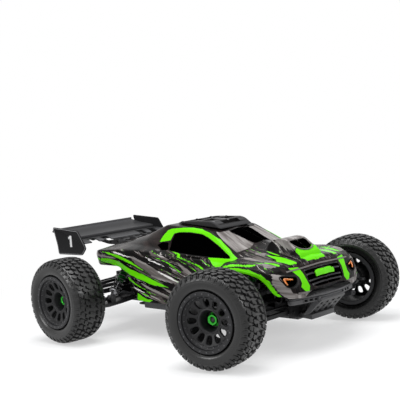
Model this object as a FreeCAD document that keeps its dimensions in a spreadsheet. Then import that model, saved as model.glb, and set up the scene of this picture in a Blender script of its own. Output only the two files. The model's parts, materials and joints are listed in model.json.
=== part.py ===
"""A large electric off-road race truck, built as an assembly of separate pieces.

Row frame: +X is the way the truck drives, +Y its left side, +Z up. The origin is on the ground, below the
middle of the whole truck's box. Pieces are drawn about the middle of the wheelbase and moved by mid_x when
they are kept.
Units are millimetres. The front wheels rest turned a little to the left.
"""
import FreeCAD, Part
import math
import os
import re

import Sketcher
from FreeCAD import Placement, Rotation, Vector

X_AXIS, Y_AXIS, Z_AXIS = Vector(1, 0, 0), Vector(0, 1, 0), Vector(0, 0, 1)
DIMENSIONS = {
    "mid_x": 45, "wheel_base": 480, "wheel_y": 249, "tyre_rad": 99.5, "tyre_width": 88, "rim_rad": 62,
    "king_y": 222, "steer_rest": 12.6, "steer_arm": 30,
    "arm_in_y": 52, "arm_out_y": 200, "arm_drop": 6, "low_pin_z": 76, "top_pin_z": 126, "pin_rad": 2,
    "pin_play": 0.1, "shock_side": 34, "shock_top_y": 70, "shock_top_z": 172, "shock_arm_y": 92,
    "shock_arm_z": 14, "spring_rad": 11.8, "wire_rad": 1.3, "spring_turns": 7.5,
    "diff_y": 40, "toe_z": 90, "toe_in_y": 58, "rack_x": 269.3, "horn_len": 30, "horn_z": 137,
    "floor_z": 58, "floor_thick": 4.5, "tub_length": 380, "tub_width": 140, "rail_y": 100,
    "cup_rad": 7.8, "shell_wall": 1.6, "skid_rise": 14, "wing_y": 137, "plate_thick": 3,
}

doc = FreeCAD.newDocument("race_truck")
sheet = doc.addObject("Spreadsheet::Sheet", "Dims")
for row, (alias, size) in enumerate(DIMENSIONS.items(), start=1):
    sheet.set(f"A{row}", alias)
    sheet.set(f"B{row}", str(size))
    sheet.setAlias(f"B{row}", alias)
doc.recompute()

SUBPARTS = []
ARM_LENGTH = "sqrt((arm_out_y - arm_in_y)^2 + arm_drop^2)"
ARM_SLOPE = "-atan2(arm_drop; arm_out_y - arm_in_y)"


# ---------------------------------------------------------------- small builders
def bound(text):
    """An expression in which each driving dimension names its cell in the sheet."""
    def named(match):
        word = match.group()
        return "Dims." + word if word in DIMENSIONS else word
    return re.sub(r"[a-z_]+", named, str(text))


def value(text):
    """What an expression is worth now, in millimetres or degrees."""
    return float(getattr(sheet.evalExpression(bound(text)), "Value", sheet.evalExpression(bound(text))))


def place(obj, x=0, y=0, z=0, axis=None, angle=0):
    """Puts obj at a point, turned about an axis."""
    if axis is not None:
        obj.Placement = Placement(Vector(), Rotation(axis, value(angle)))
        if isinstance(angle, str):
            obj.setExpression("Placement.Rotation.Angle", bound(angle))
    for key, text in zip("xyz", (x, y, z)):
        obj.setExpression(f"Placement.Base.{key}", bound(text))
    return obj


def block(x0, x1, y0, y1, z0, z1):
    """A box between two corners."""
    obj = doc.addObject("Part::Box", "block")
    for side, low, high in (("Length", x0, x1), ("Width", y0, y1), ("Height", z0, z1)):
        obj.setExpression(side, bound(f"({high}) - ({low})"))
    return place(obj, x0, y0, z0)


def rod(radius, length, x, y, z, axis="Z"):
    """A cylinder that starts at a point and runs along one of the row's axes."""
    obj = doc.addObject("Part::Cylinder", "rod")
    obj.setExpression("Radius", bound(radius))
    obj.setExpression("Height", bound(length))
    turn = {"X": (Y_AXIS, 90), "Y": (X_AXIS, -90), "Z": (None, 0)}[axis]
    return place(obj, x, y, z, *turn)


def taper(radius0, radius1, length, x, y, z, axis="Z"):
    """A cone between two radii that starts at a point."""
    obj = doc.addObject("Part::Cone", "taper")
    for name, text in (("Radius1", radius0), ("Radius2", radius1), ("Height", length)):
        obj.setExpression(name, bound(text))
    turn = {"X": (Y_AXIS, 90), "Y": (X_AXIS, -90), "Z": (None, 0)}[axis]
    return place(obj, x, y, z, *turn)


def ball(radius, x, y, z):
    obj = doc.addObject("Part::Sphere", "ball")
    obj.setExpression("Radius", bound(radius))
    return place(obj, x, y, z)


def hexagon(radius, length, x, y, z):
    """A six-sided prism along +Y."""
    obj = doc.addObject("Part::Prism", "hexagon")
    obj.Polygon = 6
    obj.setExpression("Circumradius", bound(radius))
    obj.setExpression("Height", bound(length))
    return place(obj, x, y, z, X_AXIS, -90)


def fuse(*parts):
    obj = doc.addObject("Part::MultiFuse", "fuse")
    obj.Shapes = list(parts)
    return obj


def cut(base, *tools):
    obj = doc.addObject("Part::Cut", "cut")
    obj.Base = base
    obj.Tool = tools[0] if len(tools) == 1 else fuse(*tools)
    return obj


def together(*solids):
    """Several separate solids that share one node."""
    obj = doc.addObject("Part::Compound", "together")
    obj.Links = list(solids)
    return obj


def mirrored(source, normal=Y_AXIS):
    """The mirror image of a kept piece, left to right or end to end."""
    obj = doc.addObject("Part::Mirroring", "mirrored")
    obj.Source = source
    obj.Normal = normal
    obj.setExpression("Base.x", bound("mid_x"))
    return obj


def outline(body, plane, points):
    """A closed sketch whose corners are bound to the sheet. Each corner is a pair of expressions."""
    sketch = body.newObject("Sketcher::SketchObject", "outline")
    origin = [o for o in body.Origin.OriginFeatures if o.Role == plane]
    sketch.AttachmentSupport = [(origin[0], "")]
    sketch.MapMode = "FlatFace"
    at = [(value(a), value(b)) for a, b in points]
    count = len(points)
    for i in range(count):
        start, end = at[i], at[(i + 1) % count]
        sketch.addGeometry(Part.LineSegment(Vector(*start, 0), Vector(*end, 0)), False)
    for i in range(count):
        sketch.addConstraint(Sketcher.Constraint("Coincident", i, 2, (i + 1) % count, 1))
    for i in range(count):
        for k, kind in enumerate(("DistanceX", "DistanceY")):
            number = sketch.addConstraint(Sketcher.Constraint(kind, -1, 1, i, 1, at[i][k]))
            sketch.setExpression(f"Constraints[{number}]", bound(points[i][k]))
    return sketch


def padded(plane, points, thickness, windows=()):
    """A flat piece: an outline padded about its plane, with windows cut through it."""
    body = doc.addObject("PartDesign::Body", "plate")
    pad = body.newObject("PartDesign::Pad", "pad")
    pad.Profile = outline(body, plane, points)
    pad.Midplane = True
    pad.setExpression("Length", bound(thickness))
    for window in windows:
        pocket = body.newObject("PartDesign::Pocket", "window")
        pocket.Profile = outline(body, plane, window)
        pocket.Midplane = True
        pocket.setExpression("Length", bound(f"({thickness}) * 2"))
    doc.recompute()
    return body


def turned(points):
    """A body of revolution about Y. Each point is (distance along Y, radius)."""
    body = doc.addObject("PartDesign::Body", "turned")
    sketch = outline(body, "XY_Plane", [(radius, along) for along, radius in points])
    spin = body.newObject("PartDesign::Revolution", "turn")
    spin.Profile = sketch
    spin.ReferenceAxis = (sketch, ["V_Axis"])
    spin.Angle = 360
    return body


def feature(shape):
    """A piece whose shape no workbench feature makes directly."""
    obj = doc.addObject("Part::Feature", "shape")
    obj.Shape = shape
    return obj


def keep(obj, label):
    """Names a finished piece and its node, and moves it to the row's origin unless it is a mirror image."""
    obj.Label = label
    if obj.TypeId != "Part::Mirroring":
        place_x = [text for path, text in obj.ExpressionEngine if path.endswith("Placement.Base.x")]
        obj.setExpression("Placement.Base.x", " + ".join(place_x + [bound("mid_x")]))
    SUBPARTS.append(obj)
    return obj


def four(source, name):
    """Keeps a rear left piece and its mirror images at the other three corners."""
    keep(source, name + "_rl")
    keep(mirrored(source), name + "_rr")
    front = keep(mirrored(source, X_AXIS), name + "_fl")
    keep(mirrored(front), name + "_fr")


# ---------------------------------------------------------------- wheels
CORNERS = {"fl": (1, 1), "fr": (1, -1), "rl": (-1, 1), "rr": (-1, -1)}


def at_hub(obj, corner):
    """Moves a piece built about the kingpin, with +Y outwards, to its corner, steered if that is a front one."""
    end, side = CORNERS[corner]
    turn = ("steer_rest" if end > 0 else "0") + (" + 180" if side < 0 else "")
    return place(obj, f"{end} * wheel_base / 2", f"{side} * king_y", "tyre_rad", Z_AXIS, turn)


WHEEL_OFFSET = "wheel_y - king_y"


def from_centre(points):
    """Moves a wheel's profile from the wheel's centre plane to the kingpin."""
    return [(f"({along}) + {WHEEL_OFFSET}", radius) for along, radius in points]


def tyre():
    """A tyre casing, open at its bead, whose outer surface is where the tread blocks end."""
    half = "tyre_width / 2"
    profile = [
        (f"-{half} + 8.3", "rim_rad - 3.6"), (f"-{half} + 7.5", "rim_rad + 0.4"),
        (f"-{half}", "rim_rad + 5"), (f"-{half}", "tyre_rad - 15"),
        (f"-{half} + 6", "tyre_rad - 3.5"), (f"-{half} + 24", "tyre_rad"),
        (f"{half} - 24", "tyre_rad"), (f"{half} - 6", "tyre_rad - 3.5"),
        (half, "tyre_rad - 15"), (half, "rim_rad + 5"),
        (f"{half} - 7.5", "rim_rad + 0.4"), (f"{half} - 8.3", "rim_rad - 3.6"),
        (f"{half} - 14", "rim_rad - 3.6"), (f"{half} - 6", "rim_rad + 6"),
        (f"{half} - 6", "tyre_rad - 18"), (f"{half} - 24", "tyre_rad - 6"),
        (f"-{half} + 24", "tyre_rad - 6"), (f"-{half} + 6", "tyre_rad - 18"),
        (f"-{half} + 6", "rim_rad + 6"), (f"-{half} + 14", "rim_rad - 3.6"),
    ]
    return turned(from_centre(profile))


RIM_HOLES = 12


def rim():
    """A deep wheel with bead flanges, a dished face with a ring of holes, and a well for the wheel nut."""
    profile = [
        (-41, "rim_rad - 9"), (-41, "rim_rad"), (-37, "rim_rad"), (-36, "rim_rad - 4"), (36, "rim_rad - 4"),
        (37, "rim_rad"), (42, "rim_rad"), (42, "rim_rad - 8"), (37, "rim_rad - 11"), (33, "rim_rad - 14"),
        (24, 22), (22, 19), (0, 17), (0, 5.2), (-8, 5.2), (-8, 20), (16, 22), (27, "rim_rad - 14"),
        (30, "rim_rad - 9"),
    ]
    holes = []
    for n in range(RIM_HOLES):
        turn = math.radians(360 / RIM_HOLES * n)
        for radius, size in ((34, 5.2), (41, 6.6)):
            x, z = radius * math.sin(turn), radius * math.cos(turn)
            holes.append(rod(size, 20, f"{x:.4f}", f"15 + {WHEEL_OFFSET}", f"{z:.4f}", "Y"))
    return cut(turned(from_centre(profile)), *holes)


def stub_axle():
    """A wheel's axle, with its joint cup and drive hexagon, and the wheel nut as a second solid."""
    cup = cut(rod(9.9, 14.2, 0, -5, 0, "Y"), rod("cup_rad", 13.1, 0, -5.5, 0, "Y"))
    shaft = rod(5, f"{WHEEL_OFFSET} + 2", 0, 8, 0, "Y")
    drive = hexagon(12, 6, 0, f"{WHEEL_OFFSET} - 14", 0)
    nut = fuse(rod(13, 3, 0, WHEEL_OFFSET, 0, "Y"), hexagon(10, 9, 0, f"{WHEEL_OFFSET} + 3", 0))
    return together(fuse(cup, shaft, drive), cut(nut, rod(5.05, 20, 0, f"{WHEEL_OFFSET} - 1", 0, "Y")))


def knuckle(side):
    """The upright that steers. Its barrel carries the stub axle, and it turns on two trunnions."""
    barrel = rod(17, 20.5, 0, -8, 0, "Y")
    trunnion = rod(4, 51, 0, 0, -25.5)
    arm = fuse(block(f"{side} * 10 - 4.5", f"{side} * 10 + 4.5", -5, 5, -4, 1),
               block(f"{side} * (steer_arm + 14) / 2 - (steer_arm - 14) / 2",
                     f"{side} * (steer_arm + 14) / 2 + (steer_arm - 14) / 2", -5, 5, -4, 1),
               rod(5, 5, f"{side} * steer_arm", 0, -4))
    return cut(fuse(barrel, trunnion, arm), rod(10.2, 18.1, 0, -8.5, 0, "Y"), rod(5.08, 10, 0, 8, 0, "Y"))


def build_wheels():
    for corner in CORNERS:
        keep(at_hub(tyre(), corner), "tyre_" + corner)
        keep(at_hub(rim(), corner), "rim_" + corner)
        keep(at_hub(stub_axle(), corner), "stub_axle_" + corner)
    for corner in ("fl", "fr"):
        keep(at_hub(knuckle(CORNERS[corner][1]), corner), "steering_knuckle_" + corner)


# ---------------------------------------------------------------- suspension, built at the rear left corner
AXLE_X = "-wheel_base / 2"
PIN_HOLE = "pin_rad + pin_play"


def lower_arm():
    """A wide arm between two hinge pins, with lightening windows and ears for the shock's lower eye."""
    arm = padded("XY_Plane", [(-35, 3), (-20, f"{ARM_LENGTH} - 9"), (20, f"{ARM_LENGTH} - 9"),
                              (43, 108), (43, 64), (35, 3)], 8,
                 windows=[[(-24, 18), (24, 18), (21, 50), (-21, 50)],
                          [(-17, 62), (18, 62), (12, 118), (-13, 118)]])
    eye_x, eye_y, eye_z = "shock_side", "shock_arm_y", "shock_arm_z"
    solids = [arm, rod(6.5, 72, -36, 0, 0, "X")]
    for low in (-21, 15.5):
        solids += [rod(6, 5.5, low, ARM_LENGTH, 0, "X"),
                   block(low, low + 5.5, f"{ARM_LENGTH} - 11", ARM_LENGTH, -4, 4)]
    for low in (f"{eye_x} - 8.5", f"{eye_x} + 5.5"):
        solids += [block(low, f"{low} + 3", f"{eye_y} - 7", f"{eye_y} + 7", 0, eye_z),
                   rod(7, 3, low, eye_y, eye_z, "X")]
    solids.append(rod(1.5, 15, f"{eye_x} - 7.5", eye_y, eye_z, "X"))
    ribs = [block(-3, 3, 45, 66, -4, 7), block(-33, 33, 6, 12, -4, 5)]
    holes = [rod(PIN_HOLE, 80, -40, 0, 0, "X"), rod(PIN_HOLE, 60, -30, ARM_LENGTH, 0, "X")]
    whole = cut(fuse(*solids, *ribs), *holes)
    return place(whole, AXLE_X, "arm_in_y", "low_pin_z", X_AXIS, ARM_SLOPE)


def upper_arm():
    """A narrow arm as long as the lower one and parallel to it, so that the upright stays upright."""
    reach = f"{ARM_LENGTH} - 8"
    side = [(-34, 3), (-12, 44), (-12, f"{ARM_LENGTH} - 30"), (-18, f"{ARM_LENGTH} - 18"), (-18, reach)]
    arm = padded("XY_Plane", side + [(str(-x), y) for x, y in reversed(side)], 7,
                 windows=[[(-18, 12), (18, 12), (7, 34), (-7, 34)], [(-6, 46), (6, 46), (6, 104), (-6, 104)]])
    solids = [arm, rod(5.5, 72, -36, 0, 0, "X")]
    for low in (-18, 13):
        solids += [rod(5.5, 5, low, ARM_LENGTH, 0, "X"),
                   block(low, low + 5, f"{ARM_LENGTH} - 10", ARM_LENGTH, -3.5, 3.5)]
    holes = [rod(PIN_HOLE, 80, -40, 0, 0, "X"), rod(PIN_HOLE, 60, -30, ARM_LENGTH, 0, "X")]
    whole = cut(fuse(*solids), *holes)
    return place(whole, AXLE_X, "arm_in_y", "top_pin_z", X_AXIS, ARM_SLOPE)


def upright_lugs(x):
    """The two hinge lugs that every upright has at its inner side, with their pins."""
    low_z, top_z = "low_pin_z - arm_drop", "top_pin_z - arm_drop"
    return [rod(6, 29.6, f"{x} - 14.8", "arm_out_y", low_z, "X"),
            rod(5.5, 24.8, f"{x} - 12.4", "arm_out_y", top_z, "X"),
            rod("pin_rad", 44, f"{x} - 22", "arm_out_y", low_z, "X"),
            rod("pin_rad", 38, f"{x} - 19", "arm_out_y", top_z, "X"),
            block(f"{x} - 12", f"{x} + 12", "king_y - 28", "king_y - 18", low_z, top_z)]


def hub_carrier():
    """The rear upright: lugs for both arms and a barrel for the stub axle."""
    barrel = rod(17, 32.5, AXLE_X, "king_y - 20", "tyre_rad", "Y")
    solid = fuse(barrel, *upright_lugs(AXLE_X))
    return cut(solid, rod(10.2, 41.6, AXLE_X, "king_y - 32", "tyre_rad", "Y"),
               rod(5.08, 10, AXLE_X, "king_y + 8", "tyre_rad", "Y"))


def caster_block():
    """The front upright that doesn't steer: a C whose two tabs hold the knuckle's trunnions."""
    x = "wheel_base / 2"
    tabs = [block(f"{x} - 9", f"{x} + 9", "king_y - 22", "king_y", low, f"{low} + 6")
            for low in ("tyre_rad - 24.5", "tyre_rad + 18.5")]
    rings = [rod(9, 6, x, "king_y", low) for low in ("tyre_rad - 24.5", "tyre_rad + 18.5")]
    solid = fuse(*tabs, *rings, *upright_lugs(x))
    return cut(solid, rod(4.1, 60, x, "king_y", "tyre_rad - 30"),
               rod(12, 20, x, "king_y - 34", "tyre_rad", "Y"))


def half_shaft():
    """A drive shaft with a ball at each end: one in the differential's cup and one in the stub axle's."""
    solids = [ball(5.2, AXLE_X, y, "tyre_rad") for y in ("diff_y", "king_y")]
    solids.append(rod(4, "king_y - diff_y", AXLE_X, "diff_y", "tyre_rad", "Y"))
    solids.append(rod(6, 70, AXLE_X, "(king_y + diff_y) / 2 - 42", "tyre_rad", "Y"))
    return fuse(*solids)


# ---------------------------------------------------------------- shocks, drawn down -Z from the upper eye
LOW_EYE_Y = f"arm_in_y + shock_arm_y * cos({ARM_SLOPE}) - shock_arm_z * sin({ARM_SLOPE})"
LOW_EYE_Z = f"low_pin_z + shock_arm_y * sin({ARM_SLOPE}) + shock_arm_z * cos({ARM_SLOPE})"
SHOCK_TILT = f"atan2({LOW_EYE_Y} - shock_top_y; shock_top_z - ({LOW_EYE_Z}))"
SHOCK_LENGTH = f"sqrt(({LOW_EYE_Y} - shock_top_y)^2 + (shock_top_z - ({LOW_EYE_Z}))^2)"
SPRING_TOP, SPRING_LOW = 24, 94


def at_shock(obj):
    return place(obj, f"{AXLE_X} + shock_side", "shock_top_y", "shock_top_z", X_AXIS, SHOCK_TILT)


def shock_body():
    """The damper's cylinder with its cap, upper eye and threaded spring collar."""
    solids = [rod(6.5, 9, -4.5, 0, 0, "X"), block(-4.5, 4.5, -4, 4, -9, 0), rod(9.3, 54, 0, 0, -62),
              rod(8, 5, 0, 0, -66), rod(13.2, 4, 0, 0, -SPRING_TOP)]
    solids += [rod(9.8, 1, 0, 0, -30 - 3 * n) for n in range(5)]
    solid = cut(fuse(*solids), rod(PIN_HOLE, 20, -10, 0, 0, "X"), rod(7.6, 43.5, 0, 0, -60.5),
                rod(2.5, 10, 0, 0, -68))
    return at_shock(solid)


def shock_spring():
    """A coil spring between the collar and the lower seat, lofted through six-sided wire sections."""
    radius, wire, turns = value("spring_rad"), value("wire_rad"), value("spring_turns")
    low = -SPRING_LOW + wire + 0.2
    height = SPRING_LOW - SPRING_TOP - 2 * wire - 0.4
    steps = round(turns * 14)
    slope = math.atan2(height / turns, 2 * math.pi * radius)
    sections = []
    for n in range(steps + 1):
        angle = 2 * math.pi * turns * n / steps
        outward = Vector(math.cos(angle), math.sin(angle), 0)
        along = Vector(-outward.y * math.cos(slope), outward.x * math.cos(slope), math.sin(slope))
        middle = outward * radius + Vector(0, 0, low + height * n / steps)
        corners = [middle + outward * (wire * math.cos(k * math.pi / 3)) +
                   along.cross(outward) * (wire * math.sin(k * math.pi / 3)) for k in range(6)]
        sections.append(Part.makePolygon(corners + corners[:1]))
    return at_shock(feature(Part.makeLoft(sections, True, True)))


def shock_shaft():
    """The piston and its rod, the spring's lower seat and the eye that joins the lower arm."""
    seat = fuse(rod(13.2, 3, 0, 0, -SPRING_LOW - 3), taper(6, 9, 6, 0, 0, -SPRING_LOW - 9))
    end = fuse(rod(7, 9, -4.5, 0, f"-({SHOCK_LENGTH})", "X"),
               block(-4.5, 4.5, -4, 4, f"-({SHOCK_LENGTH})", -SPRING_LOW - 4))
    piston = rod(7.2, 4, 0, 0, -42)
    stem = rod(2.2, SPRING_LOW - 38 + 4, 0, 0, -SPRING_LOW - 4)
    return at_shock(cut(fuse(seat, end, piston, stem), rod(4.4, 20, -10, 0, f"-({SHOCK_LENGTH})", "X")))


def build_suspension():
    for maker in (lower_arm, upper_arm, half_shaft, shock_body, shock_spring, shock_shaft):
        four(maker(), maker.__name__)
    carrier = keep(hub_carrier(), "hub_carrier_rl")
    keep(mirrored(carrier), "hub_carrier_rr")
    caster = keep(caster_block(), "caster_block_fl")
    keep(mirrored(caster), "caster_block_fr")


# ---------------------------------------------------------------- steering
RACK_SHIFT = "steer_arm * sin(steer_rest)"


def toe_link(side):
    """A rod from the steering rack to a knuckle, with a ball cup at each end."""
    x = "wheel_base / 2 + steer_arm * cos(steer_rest)"
    low, high = ("toe_in_y", "king_y") if side > 0 else ("-king_y", "-toe_in_y")
    low, high = f"{low} + {RACK_SHIFT}", f"{high} + {RACK_SHIFT}"
    cups = [fuse(ball(4.6, x, end, "toe_z"), rod(3.4, 8, x, start, "toe_z", "Y"))
            for end, start in ((low, low), (high, f"{high} - 8"))]
    return fuse(*cups, rod(2.6, f"{high} - ({low})", x, low, "toe_z", "Y"))


def steering_rack():
    """The sliding bar that the servo's horn moves and both toe links hang under."""
    bar = block("rack_x - 4", "rack_x + 4", f"-toe_in_y + {RACK_SHIFT}", f"toe_in_y + {RACK_SHIFT}", 100, 105)
    ends = [rod(5, 5, "rack_x", f"{side} * toe_in_y + {RACK_SHIFT}", 100) for side in (-1, 1)]
    return fuse(bar, *ends)


def servo_horn():
    """The servo's two-ended arm, which swings about X. Its lower end is just above the rack."""
    disc = rod(6, 4, "rack_x - 2", 0, "horn_z", "X")
    arm = block(-2, 2, -3, 3, "-horn_len + 3", "horn_len - 5")
    tips = [rod(3, 4, -2, 0, end, "X") for end in ("-horn_len + 3", "horn_len - 5")]
    swung = place(fuse(arm, *tips), "rack_x", 0, "horn_z", X_AXIS, f"asin({RACK_SHIFT} / horn_len)")
    return fuse(disc, swung)


def steering_servo():
    """A servo lying on the front gearbox, with its lugs and its output boss facing forwards."""
    case = block(228, 258, -20, 20, 124, 150)
    lugs = block(250, 253, -28, 28, 127, 147)
    return fuse(case, lugs, rod(7, 5, 258, 0, "horn_z", "X"), rod(2.5, 4.2, 263, 0, "horn_z", "X"))


# ---------------------------------------------------------------- chassis
def bulkhead(end):
    """A gearbox with two pin plates, output cups, and the hinge pins that the arms turn on."""
    x = f"{end} * wheel_base / 2"
    solids = [block(f"{x} - 22", f"{x} + 22", -34, 34, 70, 124),
              block(f"{x} - 43", f"{x} + 43", -40, 40, 62.5, 70.5),
              rod(16, 72, x, -36, "tyre_rad", "Y"), rod(9, 26, f"{x} - {end} * 34 - 13", 0, 92, "X")]
    for low in (-43, 37):
        wings = [(-60, 64), (60, 64), (60, 134), (40, 134), (22, 118), (-22, 118), (-40, 134), (-60, 134)]
        solids.append(place(padded("YZ_Plane", wings, 6), f"{x} + {low} + 3"))
    solids += [rod(10.5, 12, x, low, "tyre_rad", "Y") for low in (-47, 35)]
    solids += [rod("pin_rad", 92, f"{x} - 46", f"{side} * arm_in_y", z, "X")
               for side in (-1, 1) for z in ("low_pin_z", "top_pin_z")]
    cups = [rod(7.6, 14, x, low, "tyre_rad", "Y") for low in (-48, 34)]
    return cut(fuse(*solids), *cups, rod(4.08, 120, f"{x} - 60", 0, 92, "X"))


def shock_tower(end):
    """An upright plate with a stud for each shock's upper eye and two posts that the body rests on."""
    half = [(26, 62.5), (32, 112), (80, 158), (80, 180), (58, 180), (24, 150)]
    window = [(-16, 80), (16, 80), (20, 136), (-20, 136)]
    plate = padded("YZ_Plane", half + [(str(-y), z) for y, z in reversed(half)], 4, windows=[window])
    placed = place(plate, f"{end} * (wheel_base / 2 - 51)")
    studs = []
    for side in (-1, 1):
        start = "-wheel_base / 2 + 29" if end < 0 else "wheel_base / 2 - 53"
        studs.append(rod("pin_rad", 24, start, f"{side} * shock_top_y", "shock_top_z", "X"))
    top = 219.8 if end < 0 else 207.5
    posts = [rod(4, top - 146, f"{end} * (wheel_base / 2 - 51)", side * 18, 146) for side in (-1, 1)]
    return fuse(placed, *studs, *posts)


def chassis_tub():
    """The moulded floor with battery walls, and side rails that stand out below the body."""
    top = "floor_z + floor_thick"
    solids = [block("-tub_length / 2", "tub_length / 2", "-tub_width / 2", "tub_width / 2", "floor_z", top)]
    for end in (-1, 1):
        low, high = sorted((end * 188, end * 285))
        solids.append(block(low, high, -40, 40, "floor_z", top))
    for side in (-1, 1):
        wall = sorted((side * 66, side * 70))
        rail = sorted((side * 94, side * 100))
        shelf = sorted((side * 68, side * 98))
        solids += [block(-150, 150, *wall, "floor_z", 88),
                   block(-134, 118, *shelf, "floor_z + 3", "floor_z + 7"),
                   block(-136, 120, *rail, "floor_z + 2", 82)]
        solids += [block(x, x + 4, *shelf, "floor_z + 3", 80) for x in range(-134, 120, 41)]
        inner = sorted((side * 14, side * 17))
        solids.append(block(-50, 112, *inner, top, 78))
    slots = [block(x, x + 26, -6, 6, "floor_z - 1", f"{top} + 1") for x in (-150, -110, 120)]
    return cut(fuse(*solids), *slots)


def front_bumper():
    """A wide lower bumper and the sloping skid plate under it."""
    half = [(290, 30), (306, 58), (316, 106), (326, 108), (336, 70), (346, 34)]
    whole = [(str(x), str(-y)) for x, y in half] + [(str(x), y) for x, y in reversed(half)]
    bar = padded("XY_Plane", whole, 6,
                 windows=[[(300, -22), (318, -26), (318, 26), (300, 22)],
                          [(316, 44), (330, 40), (326, 78), (318, 82)],
                          [(316, -44), (330, -40), (326, -78), (318, -82)]])
    skid = padded("XZ_Plane", [(285, 58), (300, 60), (336, 88), (348, 102), (348, 110), (342, 110), (332, 95),
                               (298, 66), (285, 66)], 66)
    holes = [block(x, x + 7, y, y + 12, 56, 120) for x in (312, 326) for y in (-28, -6, 16)]
    return cut(fuse(place(bar, 0, 0, 106), skid), *holes)


def rear_bumper():
    """The rear skid plate and its cross bar."""
    skid = padded("XZ_Plane", [(-285, 58), (-300, 60), (-334, 82), (-338, 96), (-331, 96), (-328, 88),
                               (-298, 66), (-285, 66)], 60)
    bar = rod(5, 140, -334, -70, 92, "Y")
    return fuse(skid, bar, ball(5, -334, -70, 92), ball(5, -334, 70, 92))


def motor():
    """A can motor lying along the left of the tub, with cooling fins and end bells."""
    can = rod(23, 70, -150, 40, 86.5, "X")
    fins = [rod(24, 2.5, -142 + 7 * n, 40, 86.5, "X") for n in range(8)]
    return fuse(can, *fins, rod(10, 6, -156, 40, 86.5, "X"), rod(2.5, 14, -80, 40, 86.5, "X"))


def center_driveshaft():
    """The shaft between both gearboxes, with its spur gear."""
    shaft = rod(4, 2 * 215, -215, 0, 92, "X")
    teeth, root, tip = 44, 20.5, 23
    corners = []
    for n in range(teeth):
        for share, radius in ((-0.32, root), (-0.14, tip), (0.14, tip), (0.32, root)):
            angle = 2 * math.pi * (n + share) / teeth
            corners.append(Vector(-64, radius * math.cos(angle), 92 + radius * math.sin(angle)))
    gear = Part.Face(Part.makePolygon(corners + corners[:1])).extrude(Vector(8, 0, 0))
    hubs = [rod(8, 14, x, 0, 92, "X") for x in (-185, 171)]
    return fuse(shaft, feature(gear), rod(9, 14, -67, 0, 92, "X"), *hubs)


def speed_controller():
    """The motor's speed controller, with a finned heat sink."""
    case = block(122, 172, -62, -12, "floor_z + floor_thick", 92)
    fins = [block(126, 168, y, y + 2, 91, 102) for y in range(-58, -14, 6)]
    return fuse(case, *fins)


def battery_packs():
    packs = []
    for side in (-1, 1):
        pack = block(-50, 112, *sorted((side * 19, side * 64)), "floor_z + floor_thick", 104)
        packs.append(pack)
    return together(*packs)


def build_chassis():
    keep(together(bulkhead(1), bulkhead(-1)), "gearbox_housings")
    keep(together(shock_tower(1), shock_tower(-1)), "shock_towers")
    for maker in (chassis_tub, front_bumper, rear_bumper, motor, center_driveshaft, speed_controller,
                  battery_packs, steering_rack, servo_horn, steering_servo):
        keep(maker(), maker.__name__)
    keep(toe_link(1), "toe_link_fl")
    keep(toe_link(-1), "toe_link_fr")


# ---------------------------------------------------------------- body
# Each station is x, then half a cross-section as (y, z) from the lower lip, up the side, over the shoulder, in to
# the window sill or hood crease, and up to the middle of the roof or hood.
STATIONS = [
    (-262, (128, 168), (132, 179), (134, 190), (131, 199), (104, 202), (64, 206), (0, 208)),
    (-240, (141, 166), (147, 178), (149, 190), (146, 203), (106, 206), (66, 211), (0, 213)),
    (-170, (142, 166), (149, 180), (152, 193), (149, 207), (108, 213), (70, 225), (0, 227)),
    (-142, (144, 155), (150, 172), (152, 190), (148, 207), (110, 214), (73, 231), (0, 233)),
    (-126, (145, 130), (150, 155), (152, 183), (147, 206), (112, 214), (75, 235), (0, 237)),
    (-108, (143, 88), (150, 130), (151, 170), (145, 206), (113, 214), (78, 241), (0, 243)),
    (-58, (140, 85), (149, 124), (149, 164), (140, 202), (113, 210), (80, 259), (0, 260)),
    (0, (137, 85), (146, 121), (145, 158), (132, 194), (111, 198), (79, 255), (0, 257)),
    (60, (136, 85), (143, 121), (142, 157), (128, 191), (109, 195), (76, 249), (0, 252)),
    (84, (137, 85), (143, 122), (142, 158), (127, 190), (108, 194), (75, 246), (0, 249)),
    (104, (141, 96), (146, 128), (145, 160), (127, 189), (107, 193.5), (82, 233), (0, 246)),
    (125, (146, 133), (149, 148), (147, 168), (128, 188), (106, 193), (89, 221), (0, 238)),
    (150, (150, 164), (152, 170), (149, 178), (130, 188), (105, 192), (96, 206), (0, 228)),
    (178, (151, 178), (152, 182), (149, 186), (133, 190), (107, 190), (92, 195), (0, 217)),
    (235, (152, 174), (153, 178), (150, 184), (136, 192), (106, 188), (76, 192), (0, 209)),
    (278, (150, 166), (151, 172), (147, 180), (131, 188), (99, 187), (68, 190), (0, 200)),
    (296, (147, 153), (147, 163), (142, 172), (126, 181), (95, 184), (64, 188), (0, 194)),
    (310, (142, 133), (141, 148), (136, 162), (118, 174), (90, 180), (61, 186), (0, 188)),
    (320, (134, 125), (132, 140), (126, 152), (108, 164), (84, 170), (58, 173), (0, 176)),
    (331, (112, 119), (110, 128), (104, 139), (93, 149), (76, 156), (54, 159), (0, 163)),
    (342, (80, 117), (78, 120), (73, 123), (63, 126), (50, 129), (36, 131), (0, 132)),
]


def section(x, half):
    """A closed cross-section at x from its left half."""
    left = [Vector(x, y, z) for y, z in half]
    right = [Vector(x, -y, z) for y, z in reversed(half) if y > 0]
    return Part.makePolygon(left + right + left[:1])


def body_shell():
    """A thin moulded shell, open underneath, with wheel arches in its lower edge."""
    wall, below = value("shell_wall"), 9
    outer = Part.makeLoft([section(x, half) for x, *half in STATIONS], True, True)
    inner = []
    for x, *half in STATIONS:
        moved = x + (wall if x == STATIONS[0][0] else -wall if x == STATIONS[-1][0] else 0)
        thin = [(max(y - wall, 0) if y else 0, z - wall) for y, z in half]
        thin[0] = (half[0][0] - wall, half[0][1] - below)
        inner.append(section(moved, thin))
    shell = outer.cut(Part.makeLoft(inner, True, True))
    return feature(max(shell.Solids, key=lambda solid: solid.Volume))


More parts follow.
